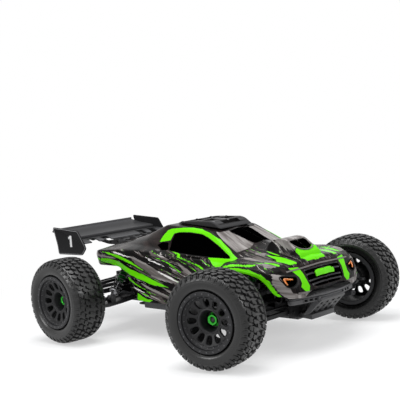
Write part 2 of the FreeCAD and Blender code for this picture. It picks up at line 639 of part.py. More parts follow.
def roof_height(x):
    """The roof's height at its middle, between the stations."""
    for (x0, *half0), (x1, *half1) in zip(STATIONS, STATIONS[1:]):
        if x0 <= x <= x1:
            share = (x - x0) / (x1 - x0)
            return half0[-1][1] * (1 - share) + half1[-1][1] * share
    return 0


def roof_skid():
    """A moulded frame on the roof that takes the load when the truck rolls over."""
    rear, front, gap = -48, 92, 0.4
    side = [(str(x), f"{roof_height(x) + gap}") for x in (rear, 0, 60, front)]
    crest = [("74", f"{roof_height(74)} + skid_rise - 2"), ("62", f"{roof_height(62)} + skid_rise"),
             ("-20", f"{roof_height(-20)} + skid_rise - 6")]
    frame = padded("XZ_Plane", side + crest, 108)
    pockets = [block(-26, 14, s0, s1, 262, 285) for s0, s1 in ((-44, -4), (4, 44))]
    pockets += [block(22, 56, s0, s1, 260, 285) for s0, s1 in ((-44, -4), (4, 44))]
    return cut(frame, *pockets)


def wing():
    """A stepped blade between two endplates, moulded in one piece."""
    blade_side = [(-302, 216), (-316, 221), (-344, 223), (-348, 229), (-400, 235), (-438, 243), (-438, 240),
                  (-400, 231.5), (-351, 225.5), (-346, 219.5), (-316, 217.5), (-303, 213)]
    blade = padded("XZ_Plane", [(str(x), z) for x, z in blade_side], "2 * wing_y")
    notches = [block(-330, -295, y, y + 22, 205, 230) for y in (-112, -72, 50, 90)]
    edge = [(-430, 254), (-326, 247), (-303, 214), (-297, 202), (-314, 185), (-413, 184), (-416, 208)]
    plates = [place(padded("XZ_Plane", [(str(x), z) for x, z in edge], "plate_thick"),
                    0, f"{side} * (wing_y + plate_thick / 2 - 1)") for side in (-1, 1)]
    return fuse(cut(blade, *notches), *plates)


def wing_mount():
    """Two struts from the body's rear deck to the underside of the wing, joined by a foot."""
    strut = [(-215, 217.2), (-240, 212.2), (-262, 207.2), (-300, 205), (-340, 213), (-372, 225),
             (-372, 227.8), (-351, 225.3), (-346.2, 219.3), (-316, 217.2), (-303.5, 212.7), (-262, 215),
             (-215, 222)]
    ribs = [place(padded("XZ_Plane", [(str(x), z) for x, z in strut], 5), 0, side * 40) for side in (-1, 1)]
    return fuse(*ribs, rod(3, 80, -290, -40, 210, "Y"))


def build_body():
    keep(body_shell(), "body_shell")
    for maker in (roof_skid, wing, wing_mount):
        keep(maker(), maker.__name__)


# ---------------------------------------------------------------- build, test and write
build_wheels()
build_suspension()
build_chassis()
build_body()
doc.recompute()

faulty = [o.Label for o in doc.Objects if "Invalid" in o.State or "Error" in o.State]
faulty += [o.Label for o in SUBPARTS if o.Shape.isNull() or not o.Shape.isValid()]
if faulty:
    raise SystemExit(f"these objects failed: {faulty}")
os.makedirs("parts", exist_ok=True)
for piece in SUBPARTS:
    piece.Shape.exportStep(f"parts/{piece.Label}.step")
print(len(SUBPARTS), "pieces written")
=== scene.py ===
"""Looks of a large off-road race truck model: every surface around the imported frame, in metres."""
import json
import math

import bpy
import numpy as np
from mathutils import Matrix, Vector
from mathutils.bvhtree import BVHTree


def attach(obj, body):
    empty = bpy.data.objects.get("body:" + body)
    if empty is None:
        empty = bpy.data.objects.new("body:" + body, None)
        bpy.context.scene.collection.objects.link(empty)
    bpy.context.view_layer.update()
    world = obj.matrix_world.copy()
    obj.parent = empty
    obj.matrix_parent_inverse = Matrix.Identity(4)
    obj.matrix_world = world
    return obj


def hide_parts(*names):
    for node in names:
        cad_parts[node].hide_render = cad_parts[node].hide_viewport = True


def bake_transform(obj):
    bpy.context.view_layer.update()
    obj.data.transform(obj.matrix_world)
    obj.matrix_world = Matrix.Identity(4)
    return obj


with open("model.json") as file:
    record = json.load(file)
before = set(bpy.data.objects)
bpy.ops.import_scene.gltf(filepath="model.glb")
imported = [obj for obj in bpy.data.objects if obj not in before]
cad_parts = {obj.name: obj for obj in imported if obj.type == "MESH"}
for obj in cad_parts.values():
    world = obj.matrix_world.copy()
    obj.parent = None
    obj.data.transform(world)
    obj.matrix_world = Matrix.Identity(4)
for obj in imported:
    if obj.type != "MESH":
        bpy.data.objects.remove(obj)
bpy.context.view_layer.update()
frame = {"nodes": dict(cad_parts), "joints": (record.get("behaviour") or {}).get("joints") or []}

MM = 0.001
MIDDLE = 45
MID_X = MIDDLE * MM
CORNERS = {"fl": (1, 1), "fr": (1, -1), "rl": (-1, 1), "rr": (-1, -1)}
STEER_REST = math.radians(12.6)
KING_Y, WHEEL_OUT, AXLE_Z, HALF_BASE = 222 * MM, 27, 99.5 * MM, 240 * MM


# ---------------------------------------------------------------- stage
def place_camera():
    """A long lens from the truck's front right, a little above its roof and rolled a little."""
    spot = Vector((1476.98, -1446.60, 460.26)) * MM
    turn, rise, roll = (math.radians(a) for a in (45.112, 4.221, -4.523))
    back = Vector((math.sin(turn) * math.cos(rise), -math.cos(turn) * math.cos(rise), math.sin(rise)))
    right = Vector((0, 0, 1)).cross(back).normalized()
    up = back.cross(right)
    side = right * math.cos(roll) + up * math.sin(roll)
    top = up * math.cos(roll) - right * math.sin(roll)
    data = bpy.data.cameras.new("camera")
    data.lens, data.sensor_width = 77.92, 36
    camera = bpy.data.objects.new("camera", data)
    camera.matrix_world = Matrix.Translation(spot) @ Matrix((side, top, back)).transposed().to_4x4()
    bpy.context.collection.objects.link(camera)
    bpy.context.scene.camera = camera
    bpy.context.scene.view_settings.view_transform = "Standard"


def softbox(name, place, aim, size, power):
    """A square area lamp that looks at a point."""
    data = bpy.data.lights.new(name, "AREA")
    data.shape, data.size, data.energy = "SQUARE", size, power
    lamp = bpy.data.objects.new(name, data)
    lamp.location = place
    lamp.rotation_mode = "QUATERNION"
    lamp.rotation_quaternion = (Vector(aim) - Vector(place)).to_track_quat("-Z", "Y")
    bpy.context.collection.objects.link(lamp)


def seen_directly(nodes, links):
    """1 for camera, glossy and transmission rays, which see the background."""
    path = nodes.new("ShaderNodeLightPath")
    total = path.outputs["Is Camera Ray"]
    for name in ("Is Glossy Ray", "Is Transmission Ray"):
        add = nodes.new("ShaderNodeMath")
        add.operation, add.use_clamp = "ADD", True
        links.new(total, add.inputs[0])
        links.new(path.outputs[name], add.inputs[1])
        total = add.outputs[0]
    return total


def light_world():
    world = bpy.data.worlds.new("studio")
    world.use_nodes = True
    nodes, links = world.node_tree.nodes, world.node_tree.links
    background = nodes["Background"]
    shade = nodes.new("ShaderNodeMix")
    shade.data_type = "RGBA"
    shade.inputs["A"].default_value = (0.42, 0.43, 0.45, 1)
    shade.inputs["B"].default_value = (1, 1, 1, 1)
    links.new(seen_directly(nodes, links), shade.inputs["Factor"])
    links.new(shade.outputs["Result"], background.inputs["Color"])
    bpy.context.scene.world = world


def lay_floor():
    """A white floor that keeps the truck's shadow and fades into the white background."""
    bpy.ops.mesh.primitive_circle_add(vertices=96, radius=6, fill_type="NGON", location=(0, 0, -0.0005))
    floor = bpy.context.object
    floor.name = "floor"
    material = bpy.data.materials.new("floor")
    material.use_nodes = True
    nodes, links = material.node_tree.nodes, material.node_tree.links
    nodes.clear()
    where = nodes.new("ShaderNodeTexCoord")
    away = nodes.new("ShaderNodeVectorMath")
    away.operation = "LENGTH"
    fade = nodes.new("ShaderNodeMapRange")
    fade.interpolation_type = "SMOOTHSTEP"
    fade.inputs["From Min"].default_value, fade.inputs["From Max"].default_value = 0.35, 1.0
    fade.inputs["To Min"].default_value = 0.5
    white, lit, blend = (nodes.new(f"ShaderNode{kind}") for kind in ("Emission", "BsdfDiffuse", "MixShader"))
    lit.inputs["Color"].default_value = (0.93, 0.93, 0.93, 1)
    links.new(where.outputs["Object"], away.inputs[0])
    links.new(away.outputs["Value"], fade.inputs["Value"])
    links.new(fade.outputs["Result"], blend.inputs[0])
    links.new(lit.outputs[0], blend.inputs[1])
    links.new(white.outputs[0], blend.inputs[2])
    links.new(blend.outputs[0], nodes.new("ShaderNodeOutputMaterial").inputs["Surface"])
    floor.data.materials.append(material)


place_camera()
light_world()
lay_floor()
softbox("top_box", (0.1, -0.2, 1.7), (0, 0, 0.1), 1.4, 30)
softbox("front_box", (1.6, 0.5, 1.0), (0.1, 0, 0.1), 0.7, 9)
softbox("side_box", (-0.5, -1.7, 0.9), (0, 0, 0.1), 0.7, 10)


# ---------------------------------------------------------------- shader groups
def shader_group(name, inputs, outputs):
    """An empty shader node group. Inputs are (name, type, default), outputs are (name, type)."""
    group = bpy.data.node_groups.new(name, "ShaderNodeTree")
    for label, kind, default in inputs:
        group.interface.new_socket(label, in_out="INPUT", socket_type=kind).default_value = default
    for label, kind in outputs:
        group.interface.new_socket(label, in_out="OUTPUT", socket_type=kind)
    return group, group.nodes.new("NodeGroupInput"), group.nodes.new("NodeGroupOutput")


def feed(tree, socket, value):
    """Links a node's output to a socket, or sets the socket to a number or an RGB colour."""
    if isinstance(value, bpy.types.NodeSocket):
        tree.links.new(value, socket)
    else:
        socket.default_value = (*value, 1) if isinstance(value, tuple) else value


def math_node(tree, operation, *values, clamp=False):
    node = tree.nodes.new("ShaderNodeMath")
    node.operation, node.use_clamp = operation, clamp
    for socket, value in zip(node.inputs, values):
        feed(tree, socket, value)
    return node.outputs[0]


def noise_node(group, vector, scale, detail=3.0, rough=0.55):
    node = group.nodes.new("ShaderNodeTexNoise")
    node.inputs["Detail"].default_value, node.inputs["Roughness"].default_value = detail, rough
    group.links.new(vector, node.inputs["Vector"])
    feed(group, node.inputs["Scale"], scale)
    return node.outputs[0]


def finish_group():
    """Small changes of colour, gloss and height that every moulded, painted or metal surface here has."""
    group, given, out = shader_group(
        "surface_finish",
        [("Color", "NodeSocketColor", (0.5, 0.5, 0.5, 1)), ("Roughness", "NodeSocketFloat", 0.5),
         ("Grain", "NodeSocketFloat", 900.0), ("Variation", "NodeSocketFloat", 0.15),
         ("Wear", "NodeSocketFloat", 0.3)],
        [("Color", "NodeSocketColor"), ("Roughness", "NodeSocketFloat"), ("Height", "NodeSocketFloat")])
    where = group.nodes.new("ShaderNodeTexCoord").outputs["Object"]
    fine = noise_node(group, where, given.outputs["Grain"])
    broad = noise_node(group, where, 14.0, 4.0)
    edge = group.nodes.new("ShaderNodeNewGeometry").outputs["Pointiness"]
    sharp = math_node(group, "MULTIPLY_ADD", edge, 8.0, -4.15)
    worn = math_node(group, "MULTIPLY", sharp, given.outputs["Wear"], clamp=True)
    swing = math_node(group, "MULTIPLY", math_node(group, "SUBTRACT", broad, 0.5), given.outputs["Variation"])
    bright = math_node(group, "MULTIPLY_ADD", swing, 2.0, 1.0)
    tint = group.nodes.new("ShaderNodeVectorMath")
    tint.operation = "SCALE"
    group.links.new(given.outputs["Color"], tint.inputs[0])
    group.links.new(bright, tint.inputs["Scale"])
    pale = group.nodes.new("ShaderNodeMix")
    pale.data_type = "RGBA"
    pale.inputs["B"].default_value = (0.30, 0.30, 0.31, 1)
    group.links.new(worn, pale.inputs["Factor"])
    group.links.new(tint.outputs[0], pale.inputs["A"])
    rough = math_node(group, "ADD", given.outputs["Roughness"], swing, clamp=True)
    group.links.new(pale.outputs["Result"], out.inputs["Color"])
    group.links.new(rough, out.inputs["Roughness"])
    group.links.new(fine, out.inputs["Height"])
    return group


FINISH = finish_group()


def material(name, color, roughness, metallic=0.0, grain=900.0, bump=0.04, variation=0.15, wear=0.25,
             coat=0.0, specular=0.5):
    """A finished surface: the shared finish feeds one Principled shader."""
    made = bpy.data.materials.new(name)
    made.use_nodes = True
    nodes, links = made.node_tree.nodes, made.node_tree.links
    shader = nodes["Principled BSDF"]
    effect = nodes.new("ShaderNodeGroup")
    effect.node_tree = FINISH
    effect.inputs["Color"].default_value = (*color, 1)
    for key, amount in (("Roughness", roughness), ("Grain", grain), ("Variation", variation), ("Wear", wear)):
        effect.inputs[key].default_value = amount
    raised = nodes.new("ShaderNodeBump")
    raised.inputs["Strength"].default_value = bump
    raised.inputs["Distance"].default_value = 0.001
    links.new(effect.outputs["Color"], shader.inputs["Base Color"])
    links.new(effect.outputs["Roughness"], shader.inputs["Roughness"])
    links.new(effect.outputs["Height"], raised.inputs["Height"])
    links.new(raised.outputs["Normal"], shader.inputs["Normal"])
    shader.inputs["Metallic"].default_value = metallic
    shader.inputs["Coat Weight"].default_value = coat
    shader.inputs["Coat Roughness"].default_value = 0.08
    shader.inputs["Specular IOR Level"].default_value = specular
    return made


RUBBER = material("tread_rubber", (0.003, 0.003, 0.003), 0.36, grain=700, bump=0.25, wear=0.04, specular=0.38)
SIDEWALL = material("sidewall_rubber", (0.004, 0.004, 0.004), 0.28, grain=500, bump=0.06, wear=0.0,
                    specular=0.5)
RIM_BLACK = material("rim_satin_black", (0.010, 0.010, 0.011), 0.40, grain=1200, bump=0.05, wear=0.15,
                     specular=0.25)
NUT_GREEN = material("green_anodising", (0.02, 0.36, 0.02), 0.30, metallic=0.9, wear=0.15)
STEEL = material("bright_steel", (0.22, 0.22, 0.23), 0.32, metallic=1.0, wear=0.0)
DARK_STEEL = material("blackened_steel", (0.014, 0.014, 0.015), 0.40, metallic=0.6, wear=0.2, specular=0.3)
BOLT_BLACK = material("bolt_black", (0.07, 0.07, 0.075), 0.30, metallic=0.7, wear=0.6)
ARM_PLASTIC = material("arm_nylon", (0.010, 0.010, 0.011), 0.40, grain=1500, bump=0.10, wear=0.2,
                       specular=0.3)
TUB_PLASTIC = material("tub_nylon", (0.009, 0.009, 0.010), 0.48, grain=1200, bump=0.12, wear=0.2,
                       specular=0.25)
BUMPER_GREY = material("bumper_grey", (0.028, 0.028, 0.030), 0.40, grain=1200, bump=0.08, wear=0.35,
                       specular=0.4)
TOWER_METAL = material("tower_black_anodising", (0.012, 0.012, 0.013), 0.36, metallic=0.6, wear=0.4,
                       specular=0.3)
SHOCK_GREEN = material("shock_green_anodising", (0.008, 0.13, 0.015), 0.32, metallic=0.8, wear=0.1)
SPRING_BLACK = material("spring_lacquer", (0.015, 0.015, 0.016), 0.25, coat=0.5)
MOTOR_BLACK = material("motor_can", (0.025, 0.025, 0.028), 0.3, metallic=0.6, coat=0.4)
CASE_BLACK = material("case_black", (0.018, 0.018, 0.020), 0.5, bump=0.10)
WRAP_DARK = material("battery_wrap", (0.03, 0.03, 0.035), 0.3, coat=0.3, bump=0.15, grain=60)
SKID_BLACK = material("skid_nylon", (0.009, 0.0085, 0.0085), 0.42, grain=1400, bump=0.10, wear=0.3,
                      specular=0.03)
WING_BLACK = material("wing_nylon", (0.007, 0.007, 0.0075), 0.42, grain=1000, bump=0.06, wear=0.25,
                      specular=0.02)


# ---------------------------------------------------------------- mesh helpers
def smooth_line(points, steps):
    """A smooth open line through points, with steps samples on each stretch."""
    p = np.array([points[0], *points, points[-1]], float)
    p[0], p[-1] = 2 * p[1] - p[2], 2 * p[-2] - p[-3]
    t = np.linspace(0, 1, steps, endpoint=False)[:, None]
    runs = [0.5 * (2 * b + (c - a) * t + (2 * a - 5 * b + 4 * c - d) * t ** 2 +
                   (3 * b - a - 3 * c + d) * t ** 3)
            for a, b, c, d in zip(p, p[1:], p[2:], p[3:])]
    return np.vstack([*runs, p[-2:-1]])


def mesh_of(name, points, faces, sharp=35):
    """A mesh in metres from points in millimetres, smooth except at edges sharper than an angle."""
    mesh = bpy.data.meshes.new(name)
    mesh.from_pydata([tuple(map(float, p)) for p in np.asarray(points) * MM], [], faces)
    mesh.update()
    mesh.shade_smooth()
    mesh.set_sharp_from_angle(angle=math.radians(sharp))
    return mesh


def ring_faces(rings, steps):
    """Quads between rings of points, each ring closed on itself."""
    return [(k * steps + i, k * steps + (i + 1) % steps, (k + 1) * steps + (i + 1) % steps,
             (k + 1) * steps + i)
            for k in range(rings - 1) for i in range(steps)]


def turned_mesh(name, profile, steps=96, sharp=35):
    """A closed outline of (along Y, radius) points turned about Y."""
    count = len(profile)
    angles = np.arange(steps) * 2 * math.pi / steps
    points = [(r * math.sin(a), y, r * math.cos(a)) for a in angles for y, r in profile]
    faces = [(i * count + j, i * count + (j + 1) % count, (i + 1) % steps * count + (j + 1) % count,
              (i + 1) % steps * count + j) for i in range(steps) for j in range(count)]
    area = sum(a[0] * b[1] - b[0] * a[1] for a, b in zip(profile, [*profile[1:], profile[0]]))
    if area < 0:
        faces = [face[::-1] for face in faces]
    return mesh_of(name, points, faces, sharp)


def joined(name, meshes, sharp=35):
    """Several meshes as one."""
    points, faces, start = [], [], 0
    for mesh in meshes:
        points += [tuple(v.co / MM) for v in mesh.vertices]
        faces += [tuple(start + v for v in face.vertices) for face in mesh.polygons]
        start += len(mesh.vertices)
    return mesh_of(name, points, faces, sharp)


def solid_rows(rows, low_rows):
    """Faces and points of a strip: rows of top points above rows of base points, walls and floor included."""
    count, width = len(rows), len(rows[0])
    points = [p for row in rows for p in row] + [p for row in low_rows for p in row]
    low = count * width
    faces = []
    for i in range(count - 1):
        for j in range(width - 1):
            a, b, c, d = i * width + j, i * width + j + 1, (i + 1) * width + j + 1, (i + 1) * width + j
            faces += [(a, b, c, d), (low + d, low + c, low + b, low + a)]
        for j, flip in ((0, False), (width - 1, True)):
            a, b = i * width + j, (i + 1) * width + j
            wall = (a, b, low + b, low + a)
            faces.append(wall[::-1] if flip else wall)
    for i, flip in ((0, True), (count - 1, False)):
        for j in range(width - 1):
            a, b = i * width + j, i * width + j + 1
            wall = (a, b, low + b, low + a)
            faces.append(wall[::-1] if flip else wall)
    return points, faces


def repeat_tree():
    """Copies of the given mesh round Y, welded where they meet."""
    tree = bpy.data.node_groups.new("repeat_round_axle", "GeometryNodeTree")
    for label, kind, way in (("Geometry", "NodeSocketGeometry", "INPUT"), ("Count", "NodeSocketInt", "INPUT"),
                             ("Weld", "NodeSocketFloat", "INPUT"),
                             ("Material", "NodeSocketMaterial", "INPUT"),
                             ("Geometry", "NodeSocketGeometry", "OUTPUT")):
        tree.interface.new_socket(label, in_out=way, socket_type=kind)
    given, out = tree.nodes.new("NodeGroupInput"), tree.nodes.new("NodeGroupOutput")
    line = tree.nodes.new("GeometryNodeMeshLine")
    line.inputs["Offset"].default_value = (0, 0, 0)
    index, step, angle = (tree.nodes.new(kind) for kind in
                          ("GeometryNodeInputIndex", "ShaderNodeMath", "ShaderNodeMath"))
    step.operation, angle.operation = "DIVIDE", "MULTIPLY"
    step.inputs[0].default_value = 2 * math.pi
    spread, turn = tree.nodes.new("ShaderNodeCombineXYZ"), tree.nodes.new("FunctionNodeEulerToRotation")
    copies = tree.nodes.new("GeometryNodeInstanceOnPoints")
    real = tree.nodes.new("GeometryNodeRealizeInstances")
    weld, paint = tree.nodes.new("GeometryNodeMergeByDistance"), tree.nodes.new("GeometryNodeSetMaterial")
    for a, b in ((given.outputs["Count"], line.inputs["Count"]), (given.outputs["Count"], step.inputs[1]),
                 (index.outputs[0], angle.inputs[0]), (step.outputs[0], angle.inputs[1]),
                 (angle.outputs[0], spread.inputs["Y"]), (spread.outputs[0], turn.inputs[0]),
                 (turn.outputs[0], copies.inputs["Rotation"]), (line.outputs[0], copies.inputs["Points"]),
                 (given.outputs["Geometry"], copies.inputs["Instance"]), (copies.outputs[0], real.inputs[0]),
                 (real.outputs[0], weld.inputs["Geometry"]), (given.outputs["Weld"], weld.inputs["Distance"]),
                 (weld.outputs[0], paint.inputs["Geometry"]),
                 (given.outputs["Material"], paint.inputs["Material"]),
                 (paint.outputs[0], out.inputs[0])):
        tree.links.new(a, b)
    return tree


REPEAT = repeat_tree()


def made_by_tree(name, mesh, tree, **values):
    """The mesh that a Geometry Nodes tree makes from another."""
    holder = bpy.data.objects.new(name, mesh)
    bpy.context.collection.objects.link(holder)
    modifier = holder.modifiers.new("tree", "NODES")
    modifier.node_group = tree
    for item in tree.interface.items_tree:
        if item.in_out == "INPUT" and item.name in values:
            modifier[item.identifier] = values[item.name]
    bpy.context.view_layer.update()
    graph = bpy.context.evaluated_depsgraph_get()
    made = bpy.data.meshes.new_from_object(holder.evaluated_get(graph))
    made.name = name
    bpy.data.objects.remove(holder)
    return made


def round_axle(name, mesh, count, finish, weld):
    return made_by_tree(name, mesh, REPEAT, Count=count, Weld=weld, Material=finish)


def piece(name, mesh, finish, body, replaces=(), matrix=None):
    """Puts a finished mesh in the row frame and lets it ride on a body."""
    mesh = mesh.copy()
    if matrix is not None:
        mesh.transform(matrix)
    mesh.materials.clear()
    for each in (finish if isinstance(finish, (list, tuple)) else [finish]):
        mesh.materials.append(each)
    made = bpy.data.objects.new(name, mesh)
    bpy.context.collection.objects.link(made)
    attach(made, body)
    if replaces:
        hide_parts(*replaces)
    return made


def hub_matrix(corner, out=0.0):
    """From a wheel's own frame, with +Y outwards, to the row frame. out is along the axle, in millimetres."""
    end, side = CORNERS[corner]
    turn = (STEER_REST if end > 0 else 0) + (math.pi if side < 0 else 0)
    spot = Vector((MID_X + end * HALF_BASE, side * KING_Y, AXLE_Z))
    return Matrix.Translation(spot) @ Matrix.Rotation(turn, 4, "Z") @ Matrix.Translation((0, out * MM, 0))


# ---------------------------------------------------------------- tyres
TREAD_PITCHES = 20
TREAD_R, TREAD_DEPTH = 99.5, 4.2
TREAD_SHIFT = 2 * math.pi * TREAD_R / TREAD_PITCHES * 0.66
CROWN = [(0, 99.5), (10, 99.45), (20, 99.1), (28, 98.2), (34, 96.6), (38.5, 94.0), (41.5, 90.2),
         (43.3, 85.5), (44, 80)]
# Each tread block is rows across the tread: (distance from the middle, one edge, other edge), in millimetres.
MIDDLE_BLOCKS = [
    [(-4.5, 1.5, 8.0), (-1, 0.3, 9.0), (3, 2.0, 11.5), (7, 4.2, 13.0), (9.8, 5.0, 11.5)],
    [(-5.2, 17.5, 23.5), (-1.5, 15.8, 24.5), (3.2, 18.0, 27.0), (8.0, 20.5, 28.5)],
]
SIDE_BLOCKS = [
    [(11.2, -2.5, 3.0), (14.0, -4.5, 6.0), (18.0, -2.2, 8.5), (21.5, 0.0, 7.0)],
    [(11.8, 12.5, 20.0), (15.5, 10.8, 21.8), (19.5, 13.2, 23.6), (22.6, 15.0, 22.0)],
    [(13.0, 24.2, 27.2), (16.5, 24.0, 25.6), (18.5, 25.6, 27.6)],
    [(23.6, 3.5, 11.5), (27.5, 2.2, 13.0), (31.0, 4.6, 14.6), (34.5, 6.0, 12.8)],
    [(24.4, 18.0, 27.5), (28.5, 16.6, 29.0), (32.5, 19.8, 29.8), (35.6, 21.0, 28.0)],
    [(25.5, 14.2, 15.6), (29.0, 14.4, 16.2)],
    [(36.6, -3.8, 4.6), (40.0, -4.6, 5.6), (44.5, -4.2, 5.2), (49.0, -3.4, 4.4), (52.5, -2.2, 3.2)],
    [(37.4, 11.6, 19.8), (41.0, 11.0, 21.0), (45.5, 11.6, 20.4), (50.0, 12.4, 19.4), (53.5, 13.4, 18.4)],
    [(38.5, 7.0, 9.6), (42.5, 6.9, 9.8), (46.0, 7.3, 9.4)],
    [(38.0, 23.0, 25.8), (42.0, 22.6, 25.9), (45.8, 23.2, 25.4)],
]


def crown_point(across, depth):
    """Along-axle place and radius on the tread's section, at a distance from its middle and a depth."""
    line = smooth_line(CROWN, 8)
    reach = np.concatenate([[0], np.cumsum(np.hypot(*np.diff(line, axis=0).T))])
    slope = np.gradient(line, axis=0)
    at = abs(across)
    y, r, dy, dr = (np.interp(at, reach, column) for column in (*line.T, *slope.T))
    size = math.hypot(dy, dr)
    y, r = y + dr / size * depth, r - dy / size * depth
    return math.copysign(y, across), r


def tread_block(rows, mirrored):
    """One block, a little smaller at its top than at its base."""
    tops, lows = [], []
    first, last = rows[0][0], rows[-1][0]
    for across, start, end in rows:
        for store, depth, inset in ((tops, 0, 0.75), (lows, TREAD_DEPTH, 0)):
            pull = inset * (1 if across == first else -1 if across == last else 0)
            v, u0, u1 = across + pull, start + inset, end - inset
            if mirrored:
                v, u0, u1 = -v, TREAD_SHIFT - u1, TREAD_SHIFT - u0
            y, r = crown_point(v, depth)
            row = [(r * math.sin(u / TREAD_R), y, r * math.cos(u / TREAD_R)) for u in (u0, (u0 + u1) / 2, u1)]
            store.append(row)
    if mirrored:
        tops, lows = tops[::-1], lows[::-1]
    return solid_rows(tops, lows)


def tread_mesh():
    points, faces = [], []
    blocks = [(rows, False) for rows in MIDDLE_BLOCKS + SIDE_BLOCKS] + [(rows, True) for rows in SIDE_BLOCKS]
    for rows, mirrored in blocks:
        more, walls = tread_block(rows, mirrored)
        faces += [tuple(len(points) + v for v in wall) for wall in walls]
        points += more
    pitch = mesh_of("tread_pitch", points, faces, 30)
    return round_axle("tread", pitch, TREAD_PITCHES, RUBBER, weld=0.0)


def casing_mesh():
    """The carcass under the tread, with bulging sidewalls, a moulded ring near the shoulder and a bead."""
    outer = smooth_line([(36.1, 58.6), (37.2, 62.6), (40.2, 65.2), (43.2, 69.5), (44.3, 75.5), (44.0, 81.0),
                         (42.4, 85.6),
                         (39.6, 89.6), (36.0, 92.4), (30.0, 94.2), (18, 95.1), (0, 95.4)], 5)
    ring = [(y + (0.5 if 82.2 < r < 83.6 else 0), r) for y, r in outer]
    inner = [(0, 92.5), (24, 91), (34, 86), (38.5, 76), (37.5, 67), (31, 60)]
    whole = ring + [(-y, r) for y, r in ring[::-1]][1:] + [(-y, r) for y, r in inner[::-1]] + inner[1:]
    return turned_mesh("casing", [(float(y), float(r)) for y, r in whole], 128, 50)


# ---------------------------------------------------------------- rims
RIM_WINDOWS = 12
FACE_LINE = [(20.0, 22.6), (24.0, 24.6), (36.0, 28.6), (46.0, 32.2), (50.0, 33.4)]


def face_y(radius):
    return float(np.interp(radius, *zip(*FACE_LINE)))


def window_sector():
    """One twelfth of the wheel's face, with a rounded window and a raised rim round it."""
    steps = 28
    turns = np.arange(steps) * 2 * math.pi / steps
    middle, half_r, half_angle = 37.2, 12.2, math.pi / RIM_WINDOWS

    def edge(turn):
        """On the sector's own boundary, as radius and angle."""
        c, s = math.cos(turn), math.sin(turn)
        reach = 1 / max(abs(c), abs(s))
        return middle + half_r * c * reach, half_angle * s * reach

    def window(turn, grow):
        c, s = math.cos(turn), math.sin(turn)
        radial = math.copysign(abs(c) ** 0.72, c) * (8.4 + grow)
        wide = 4.4 + (radial + 8.4) / 16.8 * 2.6 + grow
        return middle + radial, math.copysign(abs(s) ** 0.72, s) * wide / (middle + radial)

    def blend(turn, share, grow):
        (r0, a0), (r1, a1) = edge(turn), window(turn, grow)
        return r0 * (1 - share) + r1 * share, a0 * (1 - share) + a1 * share

    rings = [[(*edge(t), 0.0) for t in turns], [(*blend(t, 0.55, 1.6), 0.0) for t in turns],
             [(*window(t, 1.6), 0.0) for t in turns], [(*window(t, 0.9), -0.5) for t in turns],
             [(*window(t, 0.2), -1.6) for t in turns], [(*window(t, 0.0), -5.6) for t in turns],
             [(*window(t, 0.4), -6.5) for t in turns], [(*blend(t, 0.5, 0.4), -6.5) for t in turns],
             [(*edge(t), -6.5) for t in turns]]
    points = [(r * math.sin(a), face_y(r) + depth, r * math.cos(a)) for ring in rings for r, a, depth in ring]
    return mesh_of("window_sector", points, ring_faces(len(rings), steps), 40)


def rim_mesh():
    """The whole wheel: flanges and barrel, face with windows, and the nut's well."""
    barrel = [(42, 54.2), (42.2, 55.2), (42.2, 60.8), (41.2, 62), (38, 62), (37, 61), (36.2, 58.2),
              (-36, 58.2), (-37, 61.4), (-38, 62), (-40, 62), (-41, 61.2), (-41, 54), (-40, 53),
              (-34, 52.4), (26, 52.4), (29, 49.2), (33.6, 48.4), (35.2, 49.6), (37.4, 51.6), (38.2, 53.2)]
    well = [(25.4, 25.4), (26.0, 24.4), (26.0, 22.9), (25.2, 21.9), (22.0, 19.4), (3, 17.3), (0.8, 16.4),
            (0, 14.5), (0, 5.3), (-8, 5.3), (-8, 18), (-6, 20), (12, 22), (17.5, 26.5), (20.5, 27.2)]
    face = round_axle("face", window_sector(), RIM_WINDOWS, RIM_BLACK, 2e-5)
    return joined("rim", [turned_mesh("barrel", barrel, 120), face, turned_mesh("well", well, 72)], 35)


def cap_bolt(radius, height, socket):
    """A low round bolt head along +Y with a hollow for its key."""
    profile = [(0, radius), (height * 0.75, radius), (height, radius * 0.82), (height, socket),
               (height * 0.35, socket * 0.95), (height * 0.35, 0.02), (-0.6, 0.02), (-0.6, radius)]
    return turned_mesh("bolt_head", profile, 12, 40)


def upright_bolt(spot, radius, height, socket):
    """A bolt head that faces up, at a place in millimetres."""
    bolt = cap_bolt(radius, height, socket)
    bolt.transform(Matrix.Translation(Vector(spot) * MM) @ Matrix.Rotation(math.pi / 2, 4, "X"))
    return bolt


def ring_of_bolts(name, count, at_radius, at_y, radius, height, socket):
    bolt = cap_bolt(radius, height, socket)
    bolt.transform(Matrix.Translation((0, at_y * MM, at_radius * MM)))
    return round_axle(name, bolt, count, BOLT_BLACK, 0.0)


def nut_mesh():
    """A flanged hexagon nut with a chamfered top, six slots in its flange and an open bore."""
    corners = []
    sections = [(0.0, 14.6, 0), (2.4, 14.6, 0), (3.2, 14.0, 0), (3.6, 12.4, 1), (10.8, 12.4, 1),
                (12.6, 10.6, 0.55), (12.6, 7.0, 0), (11.2, 5.4, 0), (0.0, 5.3, 0)]
    steps = 72
    for y, radius, sides in sections:
        for i in range(steps):
            turn = 2 * math.pi * i / steps
            flat = math.cos(math.pi / 6) / math.cos((turn % (math.pi / 3)) - math.pi / 6)
            r = radius * (1 - sides + sides * flat)
            if radius == 14.6 and i % 3 == 0:
                r -= 0.6
            corners.append((r * math.sin(turn), y, r * math.cos(turn)))
    count = len(sections)
    faces = [(k * steps + i, k * steps + (i + 1) % steps, (k + 1) % count * steps + (i + 1) % steps,
              (k + 1) % count * steps + i) for k in range(count) for i in range(steps)]
    return mesh_of("wheel_nut", corners, faces, 30)


CUP_RADIUS = 7.8


